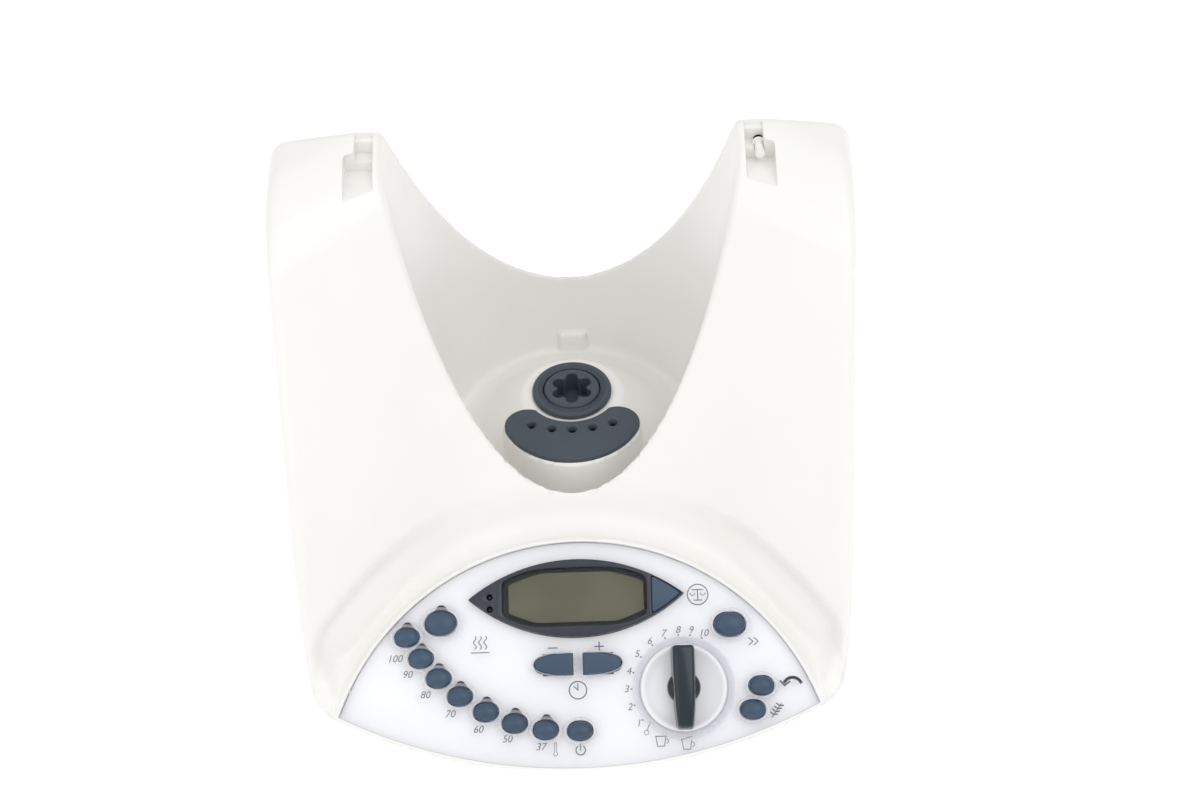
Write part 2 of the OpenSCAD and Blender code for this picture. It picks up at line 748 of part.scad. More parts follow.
// ---- Motor ----
motor_z = 34;
motor_x = well_r(motor_z + motor_h + 24) + wall + 2.6 + motor_r;
module at_motor() {
    translate([motor_x, well_y, 0]) children();
}
cap_t = 3;
module motor_case() {
    color("darkgray") at_motor() difference() {
        translate([0, 0, motor_z]) cylinder(r = motor_r, h = motor_h);
        translate([0, 0, motor_z + cap_t]) cylinder(r = motor_r - 2, h = motor_h - 2 * cap_t);
        translate([0, 0, motor_z - 1]) cylinder(r = motor_bearing_r, h = motor_h + 2);
        for (a = [0:45:315]) rotate([0, 0, a]) translate([motor_r - 9, 0, motor_z + motor_h - cap_t - 1])
            cylinder(r = 3, h = cap_t + 2, $fn = 24);
    }
}
motor_bearing_r = 9;
motor_bearing_w = 6;
module motor_bearings() {
    color("lightgray") at_motor() for (z = [motor_z, motor_z + motor_h - motor_bearing_w])
        translate([0, 0, z]) difference() {
            cylinder(r = motor_bearing_r, h = motor_bearing_w);
            translate([0, 0, -1]) cylinder(r = motor_shaft_r + fit, h = 30);
        }
}
stack_z = motor_z + 18;
stack_h = 34;
rotor_r = motor_r / 2;
stator_slot = (motor_r - rotor_r) / 2 - 2;
module motor_stator() {
    color("#6d4a32") at_motor() translate([0, 0, stack_z]) difference() {
        cylinder(r = motor_r - 2, h = stack_h);
        translate([0, 0, -1]) cylinder(r = rotor_r + 0.5, h = stack_h + 2);
        for (a = [0:60:300]) rotate([0, 0, a]) translate([rotor_r + 2, -3, -1]) cube([stator_slot, 6, stack_h + 2]);
    }
}
module motor_rotor() {
    color("#5a5f66") at_motor() translate([0, 0, stack_z]) difference() {
        union() {
            cylinder(r = rotor_r - 5, h = stack_h);
            for (a = [0:90:270]) rotate([0, 0, a]) intersection() {
                translate([0, -4.5, 0]) cube([rotor_r, 9, stack_h]);
                cylinder(r = rotor_r, h = stack_h);
            }
        }
        translate([0, 0, -1]) cylinder(r = motor_shaft_r, h = stack_h + 2);
    }
}
fan_z = motor_z + motor_h + 3;
fan_h = 10;
module motor_shaft() {
    color("silver") at_motor() translate([0, 0, shaft_low_z]) cylinder(r = motor_shaft_r, h = fan_z + fan_h - shaft_low_z);
}
module motor_pulley() {
    color("gray") at_motor() pulley(pulley_r, motor_shaft_r);
}
module motor_fan() {
    color("dimgray") at_motor() translate([0, 0, fan_z]) difference() {
        union() {
            cylinder(r = 9, h = fan_h);
            cylinder(r = motor_r - 4, h = 1.6);
            for (a = [0:40:320]) rotate([0, 0, a]) translate([7, -0.8, 0]) cube([motor_r - 12, 1.6, fan_h]);
        }
        translate([0, 0, -1]) cylinder(r = motor_shaft_r, h = fan_h + 2);
    }
}
bracket_t = 3;
module motor_bracket() {
    color("silver") difference() {
        union() {
            at_motor() translate([0, 0, motor_z - bracket_t]) cylinder(r = motor_r + 0.5, h = bracket_t);
            for (s = [-1, 1]) translate([motor_x - 5, well_y + s * (motor_r - 4) - 4, plate_z])
                cube([10, 8, motor_z - plate_z]);
        }
        at_motor() cylinder(r = motor_bearing_r + 1, h = 60);
    }
}
// The belt round both pulleys: each arc ends where its straight run leaves the pulley
belt_turn = acos((driven_r - pulley_r) / motor_x);
belt_seat = 0.05;
belt_steps = 32;
function belt_outline(grow) = concat(
    [for (k = [0:belt_steps]) let (a = belt_turn + (360 - 2 * belt_turn) * k / belt_steps)
        (driven_r + grow) * [cos(a), sin(a)]],
    [for (k = [0:belt_steps]) let (a = -belt_turn + 2 * belt_turn * k / belt_steps)
        [motor_x, 0] + (pulley_r + grow) * [cos(a), sin(a)]]
);
module drive_belt() {
    color("#222222") translate([0, well_y, belt_z + 1.5]) linear_extrude(belt_w) difference() {
        polygon(belt_outline(belt_seat + belt_t));
        polygon(belt_outline(belt_seat + 0.1));
    }
}

// ---- Heating and sensing contacts ----
strip_t = 2.6;
module contact_strip() {
    color("#363f46") difference() {
        translate([0, 0, pedestal_z]) union() {
            linear_extrude(strip_t - 0.6) strip_shape(0);
            translate([0, 0, strip_t - 0.6 - eps]) linear_extrude(0.6 + eps) strip_shape(-0.6);
        }
        for (k = [-2:2]) translate(contact_at(k)) {
            translate([0, 0, pedestal_z - 1]) cylinder(r = contact_r, h = 20);
            translate([0, 0, pedestal_z + strip_t - 0.9]) cylinder(r1 = contact_r, r2 = contact_r + 1.4, h = 0.95);
        }
    }
}
block_h = 20;
module socket_block() {
    color("dimgray") difference() {
        translate([0, 0, pedestal_z - block_h]) linear_extrude(block_h) strip_shape(-3.4);
        for (k = [-2:2]) translate(contact_at(k)) translate([0, 0, pedestal_z - block_h - 1])
            cylinder(r = contact_r + 0.7, h = 60);
    }
}
module contact_sockets() {
    color("goldenrod") for (k = [-2:2]) translate(contact_at(k)) difference() {
        translate([0, 0, pedestal_z - block_h - 4]) cylinder(r = contact_r + 0.7, h = block_h + 4);
        translate([0, 0, pedestal_z - 14]) cylinder(r = contact_r - 0.3, h = 60);
    }
}

// ---- Power electronics, in the left arm ----
board_x = -half_w + wall + 18;
module power_board() {
    color("seagreen") translate([board_x, well_y - 40, plate_z + 10]) cube([1.6, 80, 110]);
}
module heat_sink() {
    color("silver") translate([board_x + 1.6, well_y - 30, plate_z + 70]) union() {
        cube([3, 60, 40]);
        for (k = [0:6]) translate([2.9, k * 9 + 1, 0]) cube([6, 2, 40]);
    }
}
module capacitors() {
    color("midnightblue") for (k = [0:1]) translate([board_x + 1.6, well_y - 16 + 32 * k, plate_z + 34])
        rotate([0, 90, 0]) cylinder(r = 11, h = 22);
}
gland_r = 7;
module gland_place() {
    translate([-60, half_d - 1, 28]) rotate([-90, 0, 0]) children();
}
module cord_gland() {
    color("lightgray") gland_place() difference() {
        union() {
            translate([0, 0, -12]) cylinder(r = gland_r, h = 12);
            translate([0, 0, -9.5]) cylinder(r = gland_r + 2.5, h = 3);
        }
        translate([0, 0, -20]) cylinder(r = 3.6, h = 40);
    }
}

// ---- Lid switch, in the right arm behind the lug slot ----
plunger_r = 2.2;
plunger_travel = 2.5;
plunger_reach = 5;
module plunger_place() {
    translate([slot_x + slot_pocket_w / 2, slot_end_y, slot_z + slot_pocket_h / 2]) rotate([-90, 0, 0]) children();
}
module lid_plunger() {
    color("ivory") plunger_place() {
        translate([0, 0, -plunger_reach]) cylinder(r = plunger_r, h = plunger_reach + wall + 2);
        translate([0, 0, wall + 0.3]) cylinder(r = plunger_r + 1, h = 1.5);
    }
}
module lid_switch() {
    color("black") plunger_place() translate([0, 0, wall + 2 + plunger_travel + 0.4])
        translate([-5, -3, 0]) cube([10, 14, 6]);
}

housing();
base_plate();
panel_backing();
panel_cover();
display_bezel();
display_window();
lcd_module();
panel_board();
keypad_mat();
marker_lights();
button_steam();
button_100();
button_90();
button_80();
button_70();
button_60();
button_50();
button_37();
button_power();
button_minus();
button_plus();
button_scale();
button_burst();
button_reverse();
button_dough();
knob_handle();
knob_dish();
knob_shaft();
knob_encoder();
buzzer();
coupling_seal();
drive_coupling();
contact_strip();
contact_sockets();
socket_block();
drive_shaft();
drive_bearings();
bearing_housing();
driven_pulley();
drive_belt();
motor_case();
motor_stator();
motor_rotor();
motor_shaft();
motor_bearings();
motor_pulley();
motor_fan();
motor_bracket();
feet();
load_cells();
power_board();
heat_sink();
capacitors();
cord_gland();
lid_switch();
lid_plunger();
base_screws();
drive_screws();
panel_screws();
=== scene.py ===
"""Looks of the motor and heating base of a cooking blender.

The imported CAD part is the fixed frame. Each sub-assembly is a class that models its own skins round that
frame and dresses the CAD parts that stay in sight. Lengths inside the classes are in millimetres, and the
meshes are in metres.
"""

import json
import logging
import math
from dataclasses import dataclass, field
from enum import Enum
from typing import Callable, Iterable, Sequence

import bmesh
import bpy
import numpy as np
from mathutils import Matrix, Vector


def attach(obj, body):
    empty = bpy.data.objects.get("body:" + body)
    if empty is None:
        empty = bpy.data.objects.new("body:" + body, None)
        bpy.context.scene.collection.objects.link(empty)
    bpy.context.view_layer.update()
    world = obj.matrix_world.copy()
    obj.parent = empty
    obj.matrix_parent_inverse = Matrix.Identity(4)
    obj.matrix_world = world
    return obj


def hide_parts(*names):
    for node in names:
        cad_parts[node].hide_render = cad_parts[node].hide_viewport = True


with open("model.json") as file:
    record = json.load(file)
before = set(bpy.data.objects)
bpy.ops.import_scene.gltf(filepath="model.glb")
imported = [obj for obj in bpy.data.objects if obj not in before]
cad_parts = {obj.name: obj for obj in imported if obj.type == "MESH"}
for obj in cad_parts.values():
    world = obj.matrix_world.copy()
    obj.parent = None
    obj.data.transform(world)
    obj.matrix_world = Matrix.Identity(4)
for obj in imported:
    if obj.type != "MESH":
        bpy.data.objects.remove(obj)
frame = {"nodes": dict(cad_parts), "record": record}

LOG = logging.getLogger("cooking_blender_base")
MM = 0.001
Point = tuple[float, float]


# --- Finishes ---


class Grain(Enum):
    """How the surface of a material is broken up."""

    MOULDED = "moulded"
    POLISHED = "polished"
    RUBBER = "rubber"
    TURNED = "turned"
    CAST = "cast"


@dataclass(frozen=True)
class Finish:
    """One material: its colour, gloss and grain.

    Attributes:
        name: Name of the material.
        color: Base colour, linear RGB.
        roughness: Mean roughness.
        grain: How the surface is broken up.
        metallic: 1 for bare metal, 0 otherwise.
        coat: Strength of a clear coat.
        alpha: Opacity.
        shine: Specular level, 0.5 for plain plastic.
        spread: How far the colour drifts from its mean, as a fraction.
        drift_size: Size of the colour drift in millimetres.
        bump: Height of the surface grain in millimetres.
        grain_size: Size of the surface grain in millimetres.
    """

    name: str
    color: tuple[float, float, float]
    roughness: float = 0.4
    grain: Grain = Grain.MOULDED
    metallic: float = 0.0
    coat: float = 0.0
    alpha: float = 1.0
    shine: float = 0.5
    spread: float = 0.03
    drift_size: float = 60.0
    bump: float = 0.01
    grain_size: float = 0.6

    def material(self) -> bpy.types.Material:
        """Builds the node material, or returns it if it's already there.

        Returns:
            The material with this finish's name.
        """
        title = f"finish_{self.name}"
        known = bpy.data.materials.get(title)
        if known:
            return known
        mat = bpy.data.materials.new(title)
        mat.use_nodes = True
        tree = mat.node_tree
        shader = tree.nodes["Principled BSDF"]
        levels = {
            "Metallic": self.metallic, "Coat Weight": self.coat, "Coat Roughness": 0.08, "Alpha": self.alpha,
            "Specular IOR Level": self.shine,
        }
        for socket, level in levels.items():
            shader.inputs[socket].default_value = level
        place = tree.nodes.new("ShaderNodeTexCoord")
        self._colour(tree, shader, place)
        self._gloss(tree, shader, place)
        self._relief(tree, shader, place)
        mat.diffuse_color = (*self.color, 1.0)
        return mat

    def _noise(
        self, tree: bpy.types.NodeTree, place: bpy.types.Node, size: float, detail: float
    ) -> bpy.types.Node:
        """Adds a noise texture on Object coordinates.

        Args:
            tree: The material's node tree.
            place: The texture coordinate node.
            size: Size of the noise in millimetres.
            detail: Octaves of finer noise.

        Returns:
            The noise node.
        """
        noise = tree.nodes.new("ShaderNodeTexNoise")
        noise.inputs["Scale"].default_value = 1.0 / (size * MM)
        noise.inputs["Detail"].default_value = detail
        noise.inputs["Roughness"].default_value = 0.55
        tree.links.new(place.outputs["Object"], noise.inputs["Vector"])
        return noise

    def _colour(self, tree: bpy.types.NodeTree, shader: bpy.types.Node, place: bpy.types.Node) -> None:
        """Lets the base colour drift slowly round its mean."""
        noise = self._noise(tree, place, self.drift_size, 3.0)
        ramp = tree.nodes.new("ShaderNodeValToRGB")
        shades = ((0.3, 1 - self.spread), (0.7, 1 + self.spread))
        for stop, (position, share) in zip(ramp.color_ramp.elements, shades):
            stop.position = position
            stop.color = (*(min(1.0, c * share) for c in self.color), 1.0)
        tree.links.new(noise.outputs["Fac"], ramp.inputs["Fac"])
        tree.links.new(ramp.outputs["Color"], shader.inputs["Base Color"])

    def _gloss(self, tree: bpy.types.NodeTree, shader: bpy.types.Node, place: bpy.types.Node) -> None:
        """Lets the roughness vary with handling and moulding marks."""
        noise = self._noise(tree, place, self.drift_size * 0.3, 5.0)
        span = tree.nodes.new("ShaderNodeMapRange")
        span.inputs["To Min"].default_value = max(0.02, self.roughness * 0.85)
        span.inputs["To Max"].default_value = min(1.0, self.roughness * 1.15)
        tree.links.new(noise.outputs["Fac"], span.inputs["Value"])
        tree.links.new(span.outputs["Result"], shader.inputs["Roughness"])

    def _relief(self, tree: bpy.types.NodeTree, shader: bpy.types.Node, place: bpy.types.Node) -> None:
        """Adds the fine relief that the grain calls for."""
        if self.grain is Grain.TURNED:
            source = tree.nodes.new("ShaderNodeTexWave")
            source.wave_type = "RINGS"
            source.rings_direction = "Z"
            source.inputs["Scale"].default_value = 0.3 / (self.grain_size * MM)
            source.inputs["Distortion"].default_value = 0.4
            tree.links.new(place.outputs["Object"], source.inputs["Vector"])
        else:
            octaves = {Grain.MOULDED: 2.0, Grain.POLISHED: 0.0, Grain.RUBBER: 4.0, Grain.CAST: 8.0}
            source = self._noise(tree, place, self.grain_size, octaves[self.grain])
        bump = tree.nodes.new("ShaderNodeBump")
        bump.inputs["Strength"].default_value = 1.0
        bump.inputs["Distance"].default_value = self.bump * MM
        tree.links.new(source.outputs["Fac"], bump.inputs["Height"])
        tree.links.new(bump.outputs["Normal"], shader.inputs["Normal"])


BODY_WHITE = Finish(
    "body_white", (0.887, 0.875, 0.846), roughness=0.36, coat=0.08, spread=0.01, bump=0.012, grain_size=1.1
)
BASE_GREY = Finish("base_grey", (0.45, 0.45, 0.45), roughness=0.6, bump=0.03)
PANEL_PRINT = Finish("panel_print", (0.935, 0.935, 0.965), roughness=0.45, spread=0.01, bump=0.006)
CLEAR_COVER = Finish(
    "clear_cover", (0.97, 0.97, 1.0), roughness=0.14, grain=Grain.POLISHED, alpha=0.06, coat=0.15,
    spread=0.01, bump=0.003,
)
COVER_EDGE = Finish(
    "cover_edge", (0.84, 0.85, 0.90), roughness=0.2, grain=Grain.POLISHED, alpha=0.28, coat=0.1, bump=0.003
)
# Painted shade: a grey band that fills the narrow gap round the clear cover, standing in for the shadow in
# that gap.
GAP_SHADE_GREY = Finish("gap_shade_grey", (0.60, 0.60, 0.63), roughness=0.6, grain=Grain.RUBBER)
DISPLAY_DARK = Finish(
    "display_dark", (0.034, 0.039, 0.052), roughness=0.30, shine=0.35, coat=0.1, spread=0.1, bump=0.006
)
SCREEN_GREEN = Finish(
    "screen_green", (0.13, 0.128, 0.092), roughness=0.5, shine=0.15, spread=0.16, drift_size=22.0, bump=0.004
)
WINDOW = Finish(
    "window_clear", (0.2, 0.2, 0.17), roughness=0.12, grain=Grain.POLISHED, alpha=0.04, shine=0.25, bump=0.003
)
BUTTON_BLUE = Finish(
    "button_blue", (0.052, 0.085, 0.134), roughness=0.30, shine=0.3, spread=0.08, bump=0.008, grain_size=0.3
)
DARK_RUBBER = Finish(
    "dark_rubber", (0.058, 0.074, 0.093), roughness=0.44, grain=Grain.RUBBER, shine=0.35, spread=0.12,
    bump=0.025,
)
KNOB_DARK = Finish(
    "knob_dark", (0.010, 0.020, 0.028), roughness=0.22, shine=0.4, coat=0.15, grain=Grain.POLISHED, bump=0.004
)
KNOB_PALE = Finish(
    "knob_pale", (0.86, 0.86, 0.89), roughness=0.3, coat=0.2, spread=0.03, bump=0.006
)
MARK_GREY = Finish("mark_grey", (0.15, 0.155, 0.18), roughness=0.5, spread=0.05, bump=0.004)
BOARD_GREEN = Finish("board_green", (0.02, 0.16, 0.07), roughness=0.4, coat=0.3, spread=0.12)
PART_BLACK = Finish("part_black", (0.02, 0.02, 0.022), roughness=0.5, spread=0.1)
STEEL = Finish(
    "steel", (0.56, 0.56, 0.58), roughness=0.28, grain=Grain.TURNED, metallic=1.0, bump=0.004, grain_size=0.4
)
ALLOY = Finish(
    "alloy", (0.62, 0.62, 0.64), roughness=0.45, grain=Grain.CAST, metallic=1.0, bump=0.05, grain_size=0.9
)
WINDING = Finish(
    "winding", (0.30, 0.13, 0.06), roughness=0.35, grain=Grain.TURNED, metallic=0.6, bump=0.05, grain_size=0.7
)
# Partly brass colour, partly painted shade: the contacts are made much darker than brass so that the holes
# above them look shaded.
BRASS_AND_HOLE_SHADE = Finish(
    "contact_brass", (0.16, 0.11, 0.05), roughness=0.5, grain=Grain.TURNED, metallic=1.0, bump=0.004
)


# --- Mesh helpers ---


@dataclass(frozen=True)
class PanelFrame:
    """The frame of the sloping panel: x across, v up the slope, h out of its face.

    Attributes:
        slope: Slope of the panel from level, in degrees.
        edge_z: Height of its front edge at the middle.
        half_d: Half depth of the body.
    """

    slope: float = 34.5
    edge_z: float = 24.0
    half_d: float = 142.5

    def at(self, x: float = 0.0, v: float = 0.0, h: float = 0.0, turn: float = 0.0) -> Matrix:
        """Gives the transform that puts a shape on the panel.

        Args:
            x: Place across the panel.
            v: Place up the slope.
            h: Height over the cover's face.
            turn: Turn about the panel's normal, in degrees.

        Returns:
            The transform, with its shift in millimetres.
        """
        edge = Matrix.Translation((0.0, -self.half_d, self.edge_z))
        base = edge @ Matrix.Rotation(math.radians(self.slope), 4, "X")
        return base @ Matrix.Translation((x, v, h)) @ Matrix.Rotation(math.radians(turn), 4, "Z")

    def local(self, points: np.ndarray) -> tuple[np.ndarray, np.ndarray]:
        """Splits points into their place up the slope and height over the face.

        Args:
            points: Points in millimetres, with the last axis holding x, y and z.

        Returns:
            The v and h of each point.
        """
        s, c = math.sin(math.radians(self.slope)), math.cos(math.radians(self.slope))
        y, z = points[..., 1] + self.half_d, points[..., 2] - self.edge_z
        return y * c + z * s, z * c - y * s


class Mesher:
    """Turns bmesh shapes in millimetres into finished pieces in metres."""

    @staticmethod
    def prism(
        outline: Sequence[Point], low: float, high: float, edge: float = 0.0, steps: int = 2
    ) -> bmesh.types.BMesh:
        """Extrudes a closed outline and rounds its upper edge.

        Args:
            outline: Points of the outline, anticlockwise.
            low: Height of the underside.
            high: Height of the top.
            edge: Radius of the upper edge.
            steps: Segments of that rounding.

        Returns:
            The closed shape.
        """
        bm = bmesh.new()
        verts = [bm.verts.new((x, y, low)) for x, y in outline]
        face = bm.faces.new(verts)
        made = bmesh.ops.extrude_face_region(bm, geom=[face])
        top = [g for g in made["geom"] if isinstance(g, bmesh.types.BMVert)]
        bmesh.ops.translate(bm, verts=top, vec=(0.0, 0.0, high - low))
        bmesh.ops.recalc_face_normals(bm, faces=bm.faces)
        if edge > 0.0:
            rim = [e for e in bm.edges if all(abs(v.co.z - high) < 1e-5 for v in e.verts)]
            Mesher.round_edges(bm, rim, edge, steps, True)
        return bm

    @staticmethod
    def round_edges(
        bm: bmesh.types.BMesh,
        edges: Iterable[bmesh.types.BMEdge],
        radius: float,
        steps: int,
        clamp: bool = False,
    ) -> None:
        """Rounds some edges of a shape.

        Args:
            bm: The shape.
            edges: The edges.
            radius: Radius of the rounding.
            steps: Its segments.
            clamp: Whether the radius shrinks where there's no room.
        """
        bmesh.ops.bevel(
            bm, geom=list(edges), offset=radius, segments=steps, profile=0.5, affect="EDGES", material=-1,
            clamp_overlap=clamp,
        )

    @staticmethod
    def upright(bm: bmesh.types.BMesh, tall: float = 1.0) -> list[bmesh.types.BMEdge]:
        """Lists the edges that rise by more than a height."""
        return [e for e in bm.edges if abs(e.verts[0].co.z - e.verts[1].co.z) > tall]

    @staticmethod
    def above(bm: bmesh.types.BMesh, level: float) -> list[bmesh.types.BMEdge]:
        """Lists the edges that lie wholly above a height."""
        return [e for e in bm.edges if all(v.co.z > level for v in e.verts)]

    @staticmethod
    def shift(bm: bmesh.types.BMesh, x: float, y: float, z: float = 0.0) -> bmesh.types.BMesh:
        """Moves a shape and gives it back."""
        bmesh.ops.translate(bm, verts=bm.verts, vec=(x, y, z))
        return bm

    @staticmethod
    def lathe(profile: Sequence[Point], steps: int = 96) -> bmesh.types.BMesh:
        """Spins a profile of (radius, height) about Z.

        Args:
            profile: Points from the axis or round a closed ring; a closed ring repeats its first point.
            steps: Steps of the full turn.

        Returns:
            The closed shape.
        """
        bm = bmesh.new()
        verts = [bm.verts.new((r, 0.0, z)) for r, z in profile]
        edges = [bm.edges.new(pair) for pair in zip(verts, verts[1:])]
        bmesh.ops.spin(
            bm, geom=verts + edges, cent=(0, 0, 0), axis=(0, 0, 1), angle=math.tau, steps=steps,
            use_merge=True, use_duplicate=False,
        )
        bmesh.ops.remove_doubles(bm, verts=bm.verts, dist=1e-4)
        bmesh.ops.recalc_face_normals(bm, faces=bm.faces)
        return bm

    @staticmethod
    def rod(radius: float, low: float, high: float, steps: int) -> bmesh.types.BMesh:
        """Makes an upright cylinder between two heights."""
        return Mesher.lathe([(0.0, low), (radius, low), (radius, high), (0.0, high)], steps)

    @staticmethod
    def block(size: tuple[float, float, float], centre: tuple[float, float, float]) -> bmesh.types.BMesh:
        """Makes a box.

        Args:
            size: Lengths along x, y and z.
            centre: Middle of the box.

        Returns:
            The closed shape.
        """
        bm = bmesh.new()
        bmesh.ops.create_cube(bm, size=1.0)
        bmesh.ops.scale(bm, verts=bm.verts, vec=size)
        return Mesher.shift(bm, *centre)

    @staticmethod
    def join(parts: Iterable[bmesh.types.BMesh]) -> bmesh.types.BMesh:
        """Puts several shapes into one bmesh and frees the rest."""
        whole = bmesh.new()
        for part in parts:
            mesh = bpy.data.meshes.new("part")
            part.to_mesh(mesh)
            part.free()
            whole.from_mesh(mesh)
            bpy.data.meshes.remove(mesh)
        return whole

    @staticmethod
    def object(name: str, bm: bmesh.types.BMesh, place: Matrix | None = None) -> bpy.types.Object:
        """Makes an object from a bmesh in millimetres.

        Args:
            name: Name of the object.
            bm: The shape, which is freed.
            place: Transform in millimetres, put on the mesh.

        Returns:
            The object, at the origin, with its mesh in metres.
        """
        if place is not None:
            bmesh.ops.transform(bm, matrix=place, verts=bm.verts)
        bmesh.ops.scale(bm, verts=bm.verts, vec=(MM, MM, MM))
        mesh = bpy.data.meshes.new(name)
        bm.to_mesh(mesh)
        bm.free()
        piece = bpy.data.objects.new(name, mesh)
        bpy.context.scene.collection.objects.link(piece)
        return piece

    @staticmethod
    def tool(bm: bmesh.types.BMesh, place: Matrix | None = None) -> bpy.types.Object:
        """Makes a cutter from a bmesh in millimetres."""
        return Mesher.object("tool", bm, place)

    @staticmethod
    def cut(piece: bpy.types.Object, tools: Sequence[bpy.types.Object]) -> None:
        """Takes each tool's volume out of a piece and removes the tools.

        Args:
            piece: The piece to cut, whose mesh is replaced.
            tools: Closed cutters.
        """
        for tool in tools:
            step = piece.modifiers.new("cut", "BOOLEAN")
            step.operation = "DIFFERENCE"
            step.solver = "MANIFOLD"
            step.object = tool
        Mesher.settle(piece)
        for tool in tools:
            mesh = tool.data
            bpy.data.objects.remove(tool)
            bpy.data.meshes.remove(mesh)

    @staticmethod
    def settle(piece: bpy.types.Object) -> None:
        """Puts a piece's modifiers into its mesh."""
        bpy.context.view_layer.update()
        graph = bpy.context.evaluated_depsgraph_get()
        old = piece.data
        piece.data = bpy.data.meshes.new_from_object(piece.evaluated_get(graph))
        piece.data.name = old.name
        piece.modifiers.clear()
        bpy.data.meshes.remove(old)

    @staticmethod
    def soften(piece: bpy.types.Object, width: float, steps: int) -> None:
        """Rounds the sharp edges of a cut piece.

        Args:
            piece: The piece.
            width: Width of the rounding in millimetres.
            steps: Its segments.
        """
        step = piece.modifiers.new("edges", "BEVEL")
        step.width = width * MM
        step.segments = steps
        step.limit_method = "ANGLE"
        step.angle_limit = math.radians(50)
        Mesher.settle(piece)

    @staticmethod
    def shade(piece: bpy.types.Object, angle: float = 32.0) -> None:
        """Smooths a piece's faces and keeps edges sharper than an angle.

        Args:
            piece: The piece.
            angle: The angle in degrees.
        """
        mesh = piece.data
        mesh.polygons.foreach_set("use_smooth", np.ones(len(mesh.polygons), bool))
        mesh.set_sharp_from_angle(angle=math.radians(angle))

    @staticmethod
    def settle_in(
        piece: bpy.types.Object,
        body: str,
        finish: Finish,
        slot: str,
        nodes: Sequence[str] = (),
        angle: float = 0.0,
    ) -> bpy.types.Object:
        """Gives a piece its finish and body, and hides the CAD nodes it stands for.

        Args:
            piece: The piece.
            body: Body that it rides on.
            finish: Its finish.
            slot: The record's material slot; not used.
            nodes: CAD nodes that it replaces.
            angle: Edges sharper than this many degrees stay crisp; 0 keeps the shading as it is.

        Returns:
            The piece.
        """
        if angle:
            Mesher.shade(piece, angle)
        piece.data.materials.clear()
        piece.data.materials.append(finish.material())
        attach(piece, body)
        if nodes:
            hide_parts(*nodes)
        LOG.info("%s: %d faces on %s", piece.name, len(piece.data.polygons), body)
        return piece


# --- Body ---


class Blend:
    """Rounded joins between solids given by signed distances, negative inside."""

    @staticmethod
    def both(a: np.ndarray, b: np.ndarray, r: float | np.ndarray) -> np.ndarray:
        """Keeps what lies in both solids and rounds their edge to a radius."""
        edge = np.hypot(np.maximum(a + r, 0.0), np.maximum(b + r, 0.0))
        return np.minimum(np.maximum(a, b), -r) + edge

    @staticmethod
    def either(a: np.ndarray, b: np.ndarray, r: float | np.ndarray) -> np.ndarray:
        """Keeps what lies in one solid or the other and fillets where they meet."""
        return -Blend.both(-a, -b, r)

    @staticmethod
    def less(a: np.ndarray, b: np.ndarray, r: float | np.ndarray) -> np.ndarray:
        """Takes solid b out of solid a and rounds the edge."""
        return Blend.both(a, -b, r)


